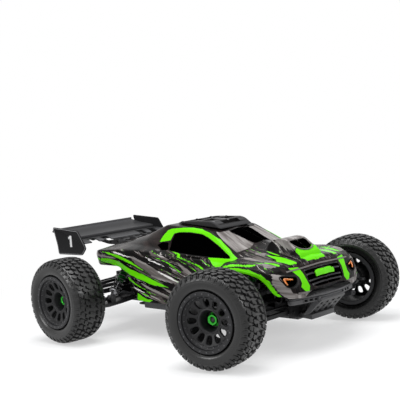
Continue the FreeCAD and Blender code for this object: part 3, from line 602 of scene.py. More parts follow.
def axle_mesh():
    """The stub axle: its cup, drive hexagon, threads and end."""
    profile = [(-5, CUP_RADIUS), (-5, 9.0), (-4.4, 9.9), (8.4, 9.9), (9.2, 9.0), (9.4, 5.0)]
    for n in range(11):
        profile += [(24 + 1.2 * n, 5.0), (24.6 + 1.2 * n, 4.6)]
    profile += [(36.6, 4.4), (36.6, 0.02), (7.6, 0.02), (7.6, CUP_RADIUS)]
    hexagon = mesh_of("drive", [(12 * math.sin(a), y, 12 * math.cos(a)) for y in (13, 19)
                                for a in np.arange(6) * math.pi / 3],
                      [tuple(range(6))[::-1], tuple(range(6, 12))] + ring_faces(2, 6))
    return joined("stub_axle", [turned_mesh("axle", profile, 40), hexagon])


def make_wheels():
    tread, casing, rim = tread_mesh(), casing_mesh(), rim_mesh()
    bolts = ring_of_bolts("rim_bolts", 24, 58.0, 42.1, 1.5, 0.9, 0.7)
    inner = ring_of_bolts("inner_rim_bolts", 24, 50.9, 36.4, 1.1, 1.0, 0.5)
    nut, axle = nut_mesh(), axle_mesh()
    for corner in CORNERS:
        wheel, hub = hub_matrix(corner, WHEEL_OUT), hub_matrix(corner)
        body = "wheel_" + corner
        piece("tyre_casing_" + corner, casing, SIDEWALL, body, ["tyre_" + corner], wheel)
        piece("tyre_tread_" + corner, tread, RUBBER, body, ["tyre_" + corner], wheel)
        piece("wheel_rim_" + corner, rim, RIM_BLACK, body, ["rim_" + corner], wheel)
        piece("rim_bolts_" + corner, joined("b", [bolts, inner]), BOLT_BLACK, body,
              ["rim_" + corner], wheel)
        piece("wheel_nut_" + corner, nut, NUT_GREEN, body, ["stub_axle_" + corner], wheel)
        piece("stub_axle_shaft_" + corner, axle, DARK_STEEL, body, ["stub_axle_" + corner], hub)


make_wheels()

# ---------------------------------------------------------------- body shell
# Cross-sections of half the shell: distance from the wheelbase's middle, then (y, z) from lower edge to roof.
SECTIONS = [
    (-262, (128, 168), (132, 179), (134, 190), (131, 199), (104, 202), (64, 206), (0, 208)),
    (-240, (141, 166), (147, 178), (149, 190), (146, 203), (106, 206), (66, 211), (0, 213)),
    (-170, (142, 166), (149, 180), (152, 193), (149, 207), (108, 213), (70, 225), (0, 227)),
    (-142, (144, 155), (150, 172), (152, 190), (148, 207), (110, 214), (73, 231), (0, 233)),
    (-126, (145, 130), (150, 155), (152, 183), (147, 206), (112, 214), (75, 235), (0, 237)),
    (-108, (143, 88), (150, 130), (151, 170), (145, 206), (113, 214), (78, 241), (0, 243)),
    (-58, (140, 85), (149, 124), (149, 164), (140, 202), (113, 210), (80, 259), (0, 260)),
    (0, (137, 85), (146, 121), (145, 158), (132, 194), (111, 198), (79, 255), (0, 257)),
    (60, (136, 85), (143, 121), (142, 157), (128, 191), (109, 195), (76, 249), (0, 252)),
    (84, (137, 85), (143, 122), (142, 158), (127, 190), (108, 194), (75, 246), (0, 249)),
    (104, (141, 96), (146, 128), (145, 160), (127, 189), (107, 193.5), (82, 233), (0, 246)),
    (125, (146, 133), (149, 148), (147, 168), (128, 188), (106, 193), (89, 221), (0, 238)),
    (150, (150, 164), (152, 170), (149, 178), (130, 188), (105, 192), (96, 206), (0, 228)),
    (178, (151, 178), (152, 182), (149, 186), (133, 190), (107, 190), (92, 195), (0, 217)),
    (235, (152, 174), (153, 178), (150, 184), (136, 192), (106, 188), (76, 192), (0, 209)),
    (278, (150, 166), (151, 172), (147, 180), (131, 188), (99, 187), (68, 190), (0, 200)),
    (296, (147, 153), (147, 163), (142, 172), (126, 181), (95, 184), (64, 188), (0, 194)),
    (310, (142, 133), (141, 148), (136, 162), (118, 174), (90, 180), (61, 186), (0, 188)),
    (320, (134, 125), (132, 140), (126, 152), (108, 164), (84, 170), (58, 173), (0, 176)),
    (331, (112, 119), (110, 128), (104, 139), (93, 149), (76, 156), (54, 159), (0, 163)),
    (342, (80, 117), (78, 120), (73, 123), (63, 126), (50, 129), (36, 131), (0, 132)),
]
PANEL_STEPS = (14, 13, 13, 9, 18, 24)


def softened(grid, axis, passes):
    """Each row or column replaced by a weighted mean with its neighbours, the ends kept."""
    for _ in range(passes):
        middle = np.take(grid, range(1, grid.shape[axis] - 1), axis)
        before = np.take(grid, range(0, grid.shape[axis] - 2), axis)
        after = np.take(grid, range(2, grid.shape[axis]), axis)
        ends = [np.take(grid, [k], axis) for k in (0, -1)]
        grid = np.concatenate([ends[0], (before + 2 * middle + after) / 4, ends[1]], axis)
    return grid


def shell_grid():
    """Points over the whole outside of the shell, in millimetres from the middle of the wheelbase."""
    table = np.array([[(x, y, z) for y, z in half] for x, *half in SECTIONS], float)
    stops = table[:, 0, 0]
    xs = np.concatenate([np.arange(-262, 296, 3.0), np.arange(296, 342.1, 1.7)])
    rows = np.stack([[np.interp(xs, stops, table[:, k, c]) for c in range(3)] for k in range(7)], 0)
    rows = rows.transpose(2, 0, 1)
    rows = softened(rows, 0, 3)
    half = [rows[:, k, None] + (rows[:, k + 1] - rows[:, k])[:, None] * np.linspace(0, 1, n,
        endpoint=False)[:, None]
            for k, n in enumerate(PANEL_STEPS)]
    half = np.concatenate([*half, rows[:, 6:7]], 1)
    other = half[:, -2::-1] * (1, -1, 1)
    return softened(np.concatenate([half, other], 1), 1, 3)

# Painted shapes. Side shapes are (x, z), hood shapes (x, |y|) and nose shapes (|y|, z), in millimetres.
WINDOW = [(-22, 204), (-24, 226), (-21, 240), (-10, 242.5), (25, 242.5), (60, 239), (82, 231.5), (123, 214),
          (158, 196), (162, 192.5), (130, 193), (95, 194.5), (40, 197.5), (10, 200)]
BAND = [(-59, 222), (-55, 235), (-46, 247.5), (-36, 251), (0, 253.5), (22, 253), (52, 250), (81, 243),
        (113, 229), (148, 209), (176, 193), (158, 191), (158, 197), (123, 215.5), (82, 233), (60, 240.5),
        (25, 244), (-8, 244), (-24, 241), (-28, 226), (-44, 224)]
QUARTER = [(-63, 216), (-50, 222), (-31, 221.5), (-26, 205), (-42, 205.5)]
SIDE_LIME = [
    [(-232, 176), (-226, 184), (-196, 184), (-165, 180), (-131, 167), (-75, 151), (-22, 134), (5, 126),
     (-44, 129),
     (-98, 142), (-150, 158), (-200, 172), (-216, 172)],
    [(-222, 200), (-196, 199), (-160, 194.5), (-127, 186), (-84, 167), (-50, 152), (-70, 160), (-106, 172),
     (-140, 182),
     (-180, 192)],
    [(-110, 88), (-104, 106), (-92, 99), (-76, 93), (-56, 92), (-70, 86), (-106, 84)],
    [(-60, 196), (-20, 186), (20, 170), (52, 157), (36, 166), (0, 181), (-34, 191)],
    [(-150, 150), (-120, 137), (-92, 124), (-60, 113), (-86, 119), (-116, 130), (-140, 141)],
    [(60, 152), (86, 138), (112, 118), (120, 104), (104, 114), (80, 132)],
    [(-20, 205.8), (26, 194.6), (76, 183.2), (122, 171), (119, 168.2), (74, 181.4), (24, 193.2),
     (-22, 204.2)],
    [(-262, 176), (-248, 183), (-232, 184.5), (-232, 180), (-250, 176), (-262, 169)],
]
SIDE_GREY = [
    [(-124, 196), (-74, 181), (-26, 161), (10, 151), (42, 134), (0, 138), (-36, 144), (-62, 155), (-96, 172)],
    [(-255, 193), (-214, 192), (-170, 187), (-190, 183.5), (-226, 187.5)],
    [(-90, 133), (-40, 118), (6, 103), (30, 92), (-8, 98), (-52, 113)],
    [(24, 183), (60, 170), (96, 153), (120, 139), (92, 148), (52, 163)],
    [(-20, 126), (20, 116), (58, 101), (80, 88), (40, 98), (4, 113)],
    [(70, 128), (100, 112), (122, 96), (104, 96), (84, 110)],
]
SIDE_PALE = [
    [(-70, 192), (-40, 184), (-8, 172), (-30, 178), (-58, 186)],
    [(-30, 163), (12, 150), (40, 137), (14, 144), (-16, 155)],
    [(-186, 203), (-150, 199), (-112, 190), (-140, 193), (-170, 198)],
    [(20, 128), (52, 117), (84, 100), (56, 109), (30, 120)],
    [(-120, 124), (-90, 113), (-64, 106), (-88, 109), (-112, 117)],
]
FENDER_LIME = [
    [(177, 179.5), (184, 185), (198, 188.5), (262, 188.5), (250, 185), (222, 186.2), (200, 184)],
    [(184, 178), (200, 182), (222, 183.2), (255, 180.5), (285, 172), (303, 157), (321, 127), (306, 122),
     (299, 140),
     (284, 158), (259, 171), (224, 175.5), (196, 174.5)],
]
CORNER_LIME = [[(100, 110), (161, 105), (178, 97), (174, 137), (178, 150), (160, 149)]]
HOOD_LIME = [
    [(224, 60), (263, 57), (312, 63), (308, 81), (276, 86), (262, 72)],
    [(206, 40), (222, 44), (243, 47), (262, 53), (246, 53), (226, 49)],
    [(280, 0), (281, 20), (287, 36), (300, 36), (313, 30), (315, 0)],
    [(254, 100), (292, 97), (300, 106), (268, 112)],
]
HOOD_GREY = [
    [(182, 96), (204, 84), (262, 87), (300, 92), (262, 97), (214, 98)],
    [(196, 58), (220, 55), (240, 58), (224, 66), (202, 68)],
    [(262, 116), (300, 110), (312, 120), (304, 132), (280, 134)],
    [(196, 110), (240, 118), (276, 128), (258, 136), (214, 130)],
    [(214, 0), (216, 30), (238, 36), (262, 37), (292, 35), (298, 22), (298, 0)],
]
ROOF_GREY = [[(87, 66), (93, 58), (97, 34), (166, 28), (171, 47), (164, 84), (120, 77)]]
WINDSHIELD = [[(99, 0), (99, 33), (105, 36), (160, 27), (168, 24), (172, 0)]]
NOSE_LIME = [
    [(94, 178), (67, 176), (64, 154), (60, 137), (66, 127), (74, 127), (84, 139), (79, 146), (80, 158)],
    [(0, 165), (20, 165), (29, 163), (32, 155), (20, 153), (0, 153)],
]
NOSE_GREY = [
    [(112, 146), (120, 168), (136, 172), (142, 152), (134, 132), (118, 120), (84, 117), (50, 120), (50, 126),
     (84, 124),
     (108, 130)],
]
HEADLIGHT = [(87, 160), (124, 165), (121, 150), (112, 142), (100, 143), (90, 150)]
GRILLE = [(0, 171), (58, 170), (58, 141), (40, 133), (0, 133)]
LAMP = [[(96, 157), (117, 160.5), (117, 157.5), (99, 154.6)],
        [(114, 158), (117.5, 158), (114, 147), (111, 146.5)]]
HOLE = [(263, 0), (263, 26), (268, 27), (285, 23), (291, 9), (292, 0)]


def inside(points, shape):
    """How far each point is inside a closed outline, negative outside it."""
    a = np.array(shape, float)
    b = np.roll(a, -1, 0)
    away = np.full(len(points), 1e9)
    crossings = np.zeros(len(points), int)
    for p, q in zip(a, b):
        run = q - p
        share = np.clip((points - p) @ run / max(run @ run, 1e-9), 0, 1)
        away = np.minimum(away, np.hypot(*(points - p - share[:, None] * run).T))
        if p[1] != q[1]:
            meets = (p[1] > points[:, 1]) != (q[1] > points[:, 1])
            crossings += meets & (points[:, 0] < run[0] * (points[:, 1] - p[1]) / run[1] + p[0])
    return np.where(crossings % 2, away, -away)


def deepest(points, shapes, allowed):
    """The largest depth of each point in any of several outlines, far outside where they are not allowed."""
    return np.where(allowed, np.max([inside(points, shape) for shape in shapes], 0), -20)


def ramp(value, start, end):
    """0 at start, 1 at end, eased."""
    t = np.clip((value - start) / (end - start), 0, 1)
    return t * t * (3 - 2 * t)


def scoop_rise(x, y, z):
    """Height added to the hood for its air scoop."""
    crest = np.interp(x, [204, 222, 240, 256, 264, 288, 298, 306],
                      [214, 224, 227.5, 226.5, 222, 206.5, 198, 0])
    return np.maximum(crest - z, 0) * (1 - ramp(np.abs(y), 32, 41)) * ramp(x, 203,
        216) * (1 - ramp(x, 297, 304))


def shaped_shell():
    """The shell's outside with its scoop, lips, recessed windows and openings, and how it is painted."""
    grid = shell_grid()
    shape = grid.shape[:2]
    p = grid.reshape(-1, 3)
    x, y, z = p.T
    wide = np.abs(y)
    side, top, front = np.stack([x, z], 1), np.stack([x, wide], 1), np.stack([wide, z], 1)
    upright, nose = (z < 256) & (wide > 68), x > 300
    on_top = (z > 182) & (x > 170) & (x < 318)
    paint = {
        "glass": np.maximum.reduce([
            deepest(side, [WINDOW, QUARTER], upright & (wide > 76)), deepest(top, WINDSHIELD, z > 205),
            deepest(front, [GRILLE, HEADLIGHT], nose), deepest(top, [HOLE], z > 180)]),
        "lime": np.maximum.reduce([
            deepest(side, [BAND], upright & (z > 188) & (wide < 125)),
                                   deepest(side, SIDE_LIME, (wide > 105) & (x < 130)),
            deepest(side, FENDER_LIME, wide > 108), deepest(top, HOOD_LIME, on_top),
            deepest(top, CORNER_LIME, (z > 170) & (z < 200)), deepest(front, NOSE_LIME, nose)]),
        "grey": np.maximum.reduce([
            deepest(side, SIDE_GREY, (wide > 112) & (x < 130)), deepest(top, HOOD_GREY, on_top),
            deepest(top, ROOF_GREY, (z > 198) & (x > 80)), deepest(front, NOSE_GREY, nose)]),
        "pale": deepest(side, SIDE_PALE, (wide > 112) & (x < 130)),
        "amber": deepest(front, LAMP, nose),
        "lime_bar": deepest(front, NOSE_LIME[1:], nose),
    }
    paint["glass"] = np.minimum(paint["glass"], np.where(paint["lime_bar"] > -1.2, -1, 99))
    paint["glass"] = np.minimum(paint["glass"], np.where(paint["amber"] > 0, -1, 99))
    p = p.copy()
    p[:, 2] += scoop_rise(x, y, z)
    p[:, 2] -= 9 * ramp(np.where(z > 180, inside(top, HOLE), -5), 0.5, 5)
    p[:, 1] -= np.sign(y) * 1.1 * ramp(np.where(wide > 76, inside(side, WINDOW), -5), -0.6, 1.2)
    p[:, 0] -= 3.5 * ramp(np.where(nose, inside(front, GRILLE), -5), -0.5, 3.5) * (paint["lime_bar"] < -2)
    p[:, 0] -= 2.5 * ramp(np.where(nose, inside(front, HEADLIGHT), -5), -0.5, 3)
    arch = np.array([(-240, 166), (-170, 166), (-142, 155), (-126, 130), (-108, 88)])
    lip = [np.interp(x, arch[:, 0], arch[:, 1]), np.interp(x, [104, 125, 150, 178, 235, 278, 296, 310],
                                                         [96, 133, 164, 178, 174, 166, 153, 133])]
    near = [(x < -105), (x > 100) & (x < 318)]
    for level, where in zip(lip, near):
        p[:, 1] += np.sign(y) * 1.6 * np.where(where & (wide > 100), 1 - ramp(z - level, 0, 9), 0)
    waist = np.interp(x, [-108, 130], [150, 131])
    crease = np.exp(-((z - waist) / 5) ** 2) * (wide > 120) * (x < 118) * (x > -110)
    p[:, 1] -= np.sign(y) * 1.2 * crease
    return p.reshape(*shape, 3), paint, x, y, z


def shell_material():
    """Printed and painted polycarbonate: brown-black with grey, pale and lime streaks, and black windows."""
    made = bpy.data.materials.new("body_paint")
    made.use_nodes = True
    tree = made.node_tree
    nodes, links = tree.nodes, tree.links
    shader = nodes["Principled BSDF"]

    def attribute(name):
        node = nodes.new("ShaderNodeAttribute")
        node.attribute_name = name
        return node.outputs["Fac"]

    def step(value, start, end):
        node = nodes.new("ShaderNodeMapRange")
        node.inputs["From Min"].default_value, node.inputs["From Max"].default_value = start, end
        links.new(value, node.inputs["Value"])
        return node.outputs["Result"]

    def total(first, second):
        return math_node(tree, "ADD", first, second)

    def times(first, second):
        return math_node(tree, "MULTIPLY", first, second)

    def over(below, color, mask):
        node = nodes.new("ShaderNodeMix")
        node.data_type = "RGBA"
        for key, value in (("A", below), ("B", color), ("Factor", mask)):
            feed(tree, node.inputs[key], value)
        return node.outputs["Result"]

    def painted_or_glass(painted, glass):
        node = nodes.new("ShaderNodeMix")
        node.inputs["A"].default_value, node.inputs["B"].default_value = painted, glass
        links.new(black, node.inputs["Factor"])
        return node.outputs[0]

    flow = nodes.new("ShaderNodeUVMap")
    flow.uv_map = "flow"

    def streaks(scale_u, scale_v, seed, low, high, distortion=0.4):
        spread = nodes.new("ShaderNodeMapping")
        spread.inputs["Scale"].default_value = (scale_u, scale_v, 1)
        spread.inputs["Location"].default_value = (seed, seed * 1.7, 0)
        noise = nodes.new("ShaderNodeTexNoise")
        noise.inputs["Scale"].default_value, noise.inputs["Detail"].default_value = 1.0, 4.0
        noise.inputs["Roughness"].default_value, noise.inputs["Distortion"].default_value = 0.6, distortion
        links.new(flow.outputs[0], spread.inputs[0])
        links.new(spread.outputs[0], noise.inputs["Vector"])
        return step(noise.outputs[0], low, high)

    torn = times(total(streaks(0.03, 0.5, 9.0, 0.3, 0.7), -0.5), 3.2)
    zone = attribute("streaked")
    color = over((0.0022, 0.0018, 0.0018), (0.020, 0.014, 0.013), streaks(0.006, 0.06, 1.0, 0.42, 0.62))
    for (su, sv, seed, low, high), tone in (
            ((0.012, 0.12, 3.0, 0.52, 0.545), (0.085, 0.073, 0.068)),
            ((0.014, 0.17, 5.5, 0.585, 0.605), (0.42, 0.39, 0.38)),
            ((0.016, 0.21, 12.5, 0.635, 0.65), (0.13, 0.62, 0.004)),
            ((0.010, 0.10, 21.0, 0.485, 0.50), (0.0015, 0.0012, 0.0012))):
        color = over(color, tone, times(streaks(su, sv, seed, low, high), zone))
    rough_edge = times(torn, zone)
    greys = over((0.10, 0.088, 0.083), (0.34, 0.32, 0.31), streaks(0.008, 0.07, 31.0, 0.42, 0.66))
    color = over(color, greys, step(total(attribute("grey"), rough_edge), -0.2, 0.2))
    color = over(color, (0.72, 0.70, 0.69), step(total(attribute("pale"), torn), -0.2, 0.2))
    lime_depth = total(attribute("lime"), times(rough_edge, 0.8))
    color = over(color, (0.010, 0.008, 0.008), times(step(lime_depth, -2.2, -1.9), times(zone, 0.8)))
    color = over(color, (0.115, 0.60, 0.003), step(lime_depth, -0.15, 0.15))
    black = step(attribute("glass"), -0.15, 0.15)
    color = over(color, (0.0003, 0.0003, 0.0003), black)
    color = over(color, (0.75, 0.20, 0.03), step(attribute("amber"), -0.1, 0.1))
    links.new(color, shader.inputs["Base Color"])
    links.new(painted_or_glass(0.24, 0.16), shader.inputs["Roughness"])
    links.new(painted_or_glass(0.06, 0.0), shader.inputs["Specular IOR Level"])
    return made


SHELL_PAINT = shell_material()
SHELL_WALL = 1.3
SHELL_SURFACE = shaped_shell()
SHELL_INSIDE = material("shell_inside", (0.012, 0.012, 0.013), 0.55, wear=0.0)


def grid_faces(rows, columns):
    return [(i * columns + j, i * columns + j + 1, (i + 1) * columns + j + 1, (i + 1) * columns + j)
            for i in range(rows - 1) for j in range(columns - 1)]


def make_shell():
    """The shell as one closed skin: outside, inside a wall below it, and edges between them."""
    grid, paint, x, y, z = SHELL_SURFACE
    rows, columns = grid.shape[:2]
    along, across = np.gradient(grid, axis=0), np.gradient(grid, axis=1)
    normal = np.cross(across, along)
    normal /= np.maximum(np.linalg.norm(normal, axis=2, keepdims=True), 1e-9)
    if normal[rows // 2, columns // 2, 2] < 0:
        normal = -normal
    inner = grid - normal * SHELL_WALL
    points = np.concatenate([grid.reshape(-1, 3), inner.reshape(-1, 3)]) + (MIDDLE, 0, 0)
    outside = grid_faces(rows, columns)
    low = rows * columns
    inside_faces = [tuple(low + v for v in face[::-1]) for face in outside]
    rim = [*range(columns)] + [i * columns + columns - 1 for i in range(1, rows)]
    rim += [(rows - 1) * columns + j for j in range(columns - 2, -1, -1)]
    rim += [i * columns for i in range(rows - 2, 0, -1)]
    walls = [(b, a, low + a, low + b) for a, b in zip(rim, [*rim[1:], rim[0]])]
    mesh = mesh_of("body_shell", points, outside + inside_faces + walls, 42)
    for key in ("lime", "grey", "pale", "glass", "amber"):
        layer = mesh.attributes.new(key, "FLOAT", "POINT")
        layer.data.foreach_set("value", np.concatenate([paint[key], np.full(low, -20.0)]).astype(np.float32))
    wide = np.abs(y)
    zone = np.where(wide > 112, 1.0, 0.0) * ramp(x, -262, -250) * (1 - ramp(z, 203, 209) * (x < 140))
    zone = np.maximum(zone, ramp(x, 168, 182) * (1 - ramp(x, 312, 318)) * (z > 178))
    layer = mesh.attributes.new("streaked", "FLOAT", "POINT")
    layer.data.foreach_set("value", np.concatenate([zone, zone * 0]).astype(np.float32))
    flow = mesh.uv_layers.new(name="flow")
    v = np.where(wide > 100, z + 0.30 * x + 0.0003 * x * np.abs(x), 330 - wide + 0.16 * x)
    coords = np.concatenate([np.stack([x, v], 1)] * 2)
    corners = np.zeros(len(mesh.loops), int)
    mesh.loops.foreach_get("vertex_index", corners)
    flow.data.foreach_set("uv", coords[corners].astype(np.float32).ravel())
    made = piece("shell_skin", mesh, [SHELL_PAINT, SHELL_INSIDE], "shell", ["body_shell"])
    count = len(outside)
    made.data.polygons.foreach_set("material_index", [0] * count + [1] * (len(made.data.polygons) - count))


make_shell()

# ---------------------------------------------------------------- roof skid and wing
def prism(name, outline, low, high, axis="Y", sharp=30, bevel=0.0):
    """An outline across one axis, given thickness along that axis. bevel softens its two faces."""
    shape = np.array(outline, float)
    area = np.sum(shape[:, 0] * np.roll(shape[:, 1], -1) - np.roll(shape[:, 0], -1) * shape[:, 1])
    if (area > 0) != (axis != "Y"):
        shape = shape[::-1]
    shrunk = shrink(shape, bevel) if bevel else shape
    levels = [(low, shrunk), (low + bevel, shape), (high - bevel, shape), (high, shrunk)] if bevel else \
        [(low, shape), (high, shape)]
    order = {"X": (2, 0, 1), "Y": (0, 2, 1), "Z": (0, 1, 2)}[axis]
    points = np.concatenate([np.column_stack([s, np.full(len(s), level)])[:, order] for level, s in levels])
    n = len(shape)
    faces = ring_faces(len(levels), n)
    faces += [tuple(range(n))[::-1], tuple(range((len(levels) - 1) * n, len(levels) * n))]
    return mesh_of(name, points, faces, sharp)


def shrink(shape, amount):
    """An outline moved inwards by an amount. The outline runs anticlockwise or clockwise."""
    before, after = np.roll(shape, 1, 0), np.roll(shape, -1, 0)
    first = (shape - before) / np.maximum(np.linalg.norm(shape - before, axis=1, keepdims=True), 1e-9)
    second = (after - shape) / np.maximum(np.linalg.norm(after - shape, axis=1, keepdims=True), 1e-9)
    turn = np.sign(np.sum(shape[:, 0] * np.roll(shape[:, 1], -1) - np.roll(shape[:, 0], -1) * shape[:, 1]))
    inward = np.column_stack([-(first + second)[:, 1], (first + second)[:, 0]]) * turn
    inward /= np.maximum(np.linalg.norm(inward, axis=1, keepdims=True), 1e-9)
    return shape + inward * amount


def rounded(outline, radius, steps=4):
    """An outline with its corners rounded."""
    shape = np.array(outline, float)
    made = []
    for before, here, after in zip(np.roll(shape, 1, 0), shape, np.roll(shape, -1, 0)):
        start = here + (before - here) * min(radius / np.linalg.norm(before - here), 0.45)
        end = here + (after - here) * min(radius / np.linalg.norm(after - here), 0.45)
        for t in np.linspace(0, 1, steps):
            made.append((1 - t) ** 2 * start + 2 * t * (1 - t) * here + t ** 2 * end)
    return made


def tube(name, path, radius, sides):
    """A round tube along a path in millimetres."""
    path = np.asarray(path, float)
    ahead = np.gradient(path, axis=0)
    ahead /= np.linalg.norm(ahead, axis=1, keepdims=True)
    guide = np.array((0, 0, 1.0)) if abs(ahead[0, 2]) < 0.9 else np.array((1.0, 0, 0))
    points = []
    for spot, way in zip(path, ahead):
        first = np.cross(way, guide)
        first /= np.linalg.norm(first)
        guide = np.cross(first, way)
        points += [spot + radius * (first * math.cos(a) + guide * math.sin(a))
                   for a in np.arange(sides) * 2 * math.pi / sides]
    n = len(path)
    faces = [(k * sides + i, (k + 1) * sides + i, (k + 1) * sides + (i + 1) % sides,
              k * sides + (i + 1) % sides)
             for k in range(n - 1) for i in range(sides)]
    faces += [tuple(range(sides)), tuple(range((n - 1) * sides, n * sides))[::-1]]
    faces = [face[::-1] for face in faces]
    return mesh_of(name, points, faces, 50)


SHIFT = Matrix.Translation((MID_X, 0, 0))
DETAILED = {
    "body_shell": ("shell", "body_paint"), "roof_skid": ("shell", "skid_plastic"),
    "wing": ("shell", "wing_plastic"), "wing_mount": ("shell", "skid_plastic"),
    "front_bumper": ("chassis", "bumper_plastic"),
}


def detail(name, mesh, finish, node):
    """A piece that stands for a CAD node, drawn from the middle of the wheelbase."""
    body, slot = DETAILED[node]
    return piece(name, mesh, finish, body, [node], SHIFT)


def cut_mesh(name, mesh, cutters, sharp=30):
    """A mesh with others taken out of it."""
    whole = bpy.data.objects.new(name, mesh)
    bpy.context.collection.objects.link(whole)
    tools = []
    for k, cutter in enumerate(cutters):
        tool = bpy.data.objects.new(f"cutter_{k}", cutter)
        bpy.context.collection.objects.link(tool)
        tools.append(tool)
        modifier = whole.modifiers.new("cut", "BOOLEAN")
        modifier.object, modifier.operation, modifier.solver = tool, "DIFFERENCE", "EXACT"
    bpy.context.view_layer.update()
    made = bpy.data.meshes.new_from_object(whole.evaluated_get(bpy.context.evaluated_depsgraph_get()))
    made.name = name
    made.shade_smooth()
    made.set_sharp_from_angle(angle=math.radians(sharp))
    for each in [whole, *tools]:
        bpy.data.objects.remove(each)
    return made


def roof_z(x):
    """The roof's height along its middle."""
    return float(np.interp(x, [s[0] for s in SECTIONS], [s[-1][1] for s in SECTIONS]))


def make_roof_skid():
    """A ribbed frame on the roof: two long rails and three cross rails, with two pairs of openings."""
    side = [(-46, roof_z(-46) + 0.3), (92, roof_z(92) + 0.3), (86, roof_z(86) + 5), (74, roof_z(74) + 11.5),
            (60, roof_z(60) + 14), (-18, roof_z(-18) + 7.6), (-40, roof_z(-40) + 4)]
    block = prism("skid", rounded(side, 5, 4), -54, 54, "Y", 28, 2.2)
    cutters = []
    for x0, x1, y0, y1 in ((22, 58, 5, 44), (-28, 12, 5, 44)):
        for sign in (1, -1):
            hole = [(x0, sign * y0), (x1, sign * y0), (x1 - 5, sign * (y1 - 7)), (x1 - 12, sign * y1),
                    (x0 + 3, sign * y1)]
            cutters.append(prism("hole", rounded(hole, 3, 3), roof_z((x0 + x1) / 2) + 1.2, 290, "Z"))
    front = [(66, -30), (84, -26), (84, 26), (66, 30)]
    cutters.append(prism("front", rounded(front, 3, 3), roof_z(75) + 7, 290, "Z"))
    for sign in (1, -1):
        groove = [(-60, sign * 50), (100, sign * 50), (100, sign * 60), (-60, sign * 60)]
        cutters.append(prism("groove", groove, roof_z(0) + 9, 300, "Z"))
    skid = cut_mesh("roof_skid", block, cutters)
    ribs = []
    for x0, x1, y0, y1 in ((24, 54, 8, 40), (-24, 8, 8, 40)):
        for sign in (1, -1):
            base = roof_z((x0 + x1) / 2)
            ribs.append(tube("rib", [(x0, sign * y0, base + 3), (x1, sign * y1, base + 3)], 1.6, 8))
            near, far = sorted((sign * (y0 - 4), sign * (y1 + 6)))
            pan = [(x0 - 4, near), (x1 + 6, near), (x1 + 6, far), (x0 - 4, far)]
            ribs.append(prism("floor", pan, base + 0.6, base + 1.4, "Z"))
    screws = []
    for x in (-36, 16, 66):
        frame_top = roof_z(x) + np.interp(x, [-40, -18, 60, 74], [4, 7.4, 13.6, 11]) - 0.2
        screws += [upright_bolt((x, y, frame_top), 2.6, 1.4, 1.2) for y in (-48, 0, 48)]
    detail("roof_frame", joined("s", [skid, *ribs], 28), SKID_BLACK, "roof_skid")
    detail("roof_frame_screws", joined("s", screws), BOLT_BLACK, "roof_skid")


WING_EDGE = [(-430, 254), (-326, 247), (-303, 214), (-297, 202), (-314, 185), (-413, 184), (-416, 208)]


def make_wing():
    """A stepped, notched blade with stiffening ribs below it, between two bordered endplates."""
    top = [(-302, 215.8), (-309, 218.6), (-316, 221), (-330, 222.2), (-344, 223), (-346.4, 226.4),
           (-348, 229), (-374, 232), (-400, 235), (-420, 238.8), (-438, 243)]
    low = [(-438, 240.6), (-420, 236.2), (-400, 232.3), (-374, 229), (-351, 226), (-347.6, 220),
           (-330, 219.2), (-316, 218), (-303, 213.4)]
    blade = prism("blade", top + low, -136, 136, "Y", 22, 0.5)
    cutters = []
    for y in (-112, -72, 50, 90):
        notch = [(-329, y), (-326, y + 22), (-290, y + 24), (-290, y - 2)]
        cutters.append(prism("notch", rounded(notch, 3, 3), 200, 240, "Z"))
    blade = cut_mesh("blade", blade, cutters, 22)
    rib = [(-436, 240), (-400, 232), (-352, 226), (-348, 219.5), (-318, 218), (-330, 215), (-400, 227)]
    ribs = [prism("rib", rib, y - 0.8, y + 0.8, "Y", 30) for y in (-125, -88, -52, 52, 88, 125)]
    flap = [(-438, 240.6), (-434.5, 240.8), (-434, 247), (-436.8, 247.6)]
    ribs.append(prism("gurney", flap, -134, 134, "Y", 30))
    detail("wing_blade", joined("blade", [blade, *ribs], 22), WING_BLACK, "wing")
    for sign in (1, -1):
        plate = prism("plate", rounded(WING_EDGE, 5, 4), sign * 137.5 - 1.5, sign * 137.5 + 1.5, "Y", 30, 0.5)
        border = shrink(np.array(rounded(WING_EDGE, 5, 4)), 3.2)
        raised = prism("field", border, *sorted((sign * 138.9, sign * 139.4)), "Y", 30, 0.2)
        detail(f"wing_plate_{'lr'[sign < 0]}", joined("p", [plate, raised], 30), PLATE_BLACK, "wing")
        line = prism("line", shrink(np.array(rounded(WING_EDGE, 5, 4)), 1.7),
                     *sorted((sign * 138.9, sign * 139.1)), "Y")
        detail(f"wing_plate_border_{'lr'[sign < 0]}", line, PLATE_GREY, "wing")
        one = [(-352, 205), (-360, 205), (-360, 227), (-365, 225), (-366, 229), (-358, 234), (-352, 234)]
        flip = [(-712 - x - 4, z) for x, z in one] if sign > 0 else one
        digit = prism("digit", flip, *sorted((sign * 139.3, sign * 139.65)), "Y")
        detail(f"wing_number_{'lr'[sign < 0]}", digit, NUMBER_WHITE, "wing")


PLATE_BLACK = material("plate_black", (0.007, 0.007, 0.0075), 0.36, grain=1000, bump=0.03, wear=0.10,
                       specular=0.03)
PLATE_GREY = material("plate_border", (0.16, 0.16, 0.165), 0.4, wear=0.0)
NUMBER_WHITE = material("number_white", (0.62, 0.62, 0.62), 0.35, wear=0.0, variation=0.05)
make_roof_skid()
make_wing()


# ---------------------------------------------------------------- nose, bumper and wing mount details
def perforated(name, outline, holes, thickness, matrix, sharp=30):
    """A plate across Z with rounded holes, put in place by a matrix."""
    plate = prism(name, outline, -thickness / 2, thickness / 2, "Z", sharp, 0.6)
    plate = cut_mesh(name, plate, [prism("hole", rounded(h, 1.6, 3), -20, 20, "Z") for h in holes], sharp)
    plate.transform(matrix)
    return plate


def oblong(x, y, length, width):
    return [(x - length / 2, y - width / 2), (x + length / 2, y - width / 2), (x + length / 2, y + width / 2),
            (x - length / 2, y + width / 2)]


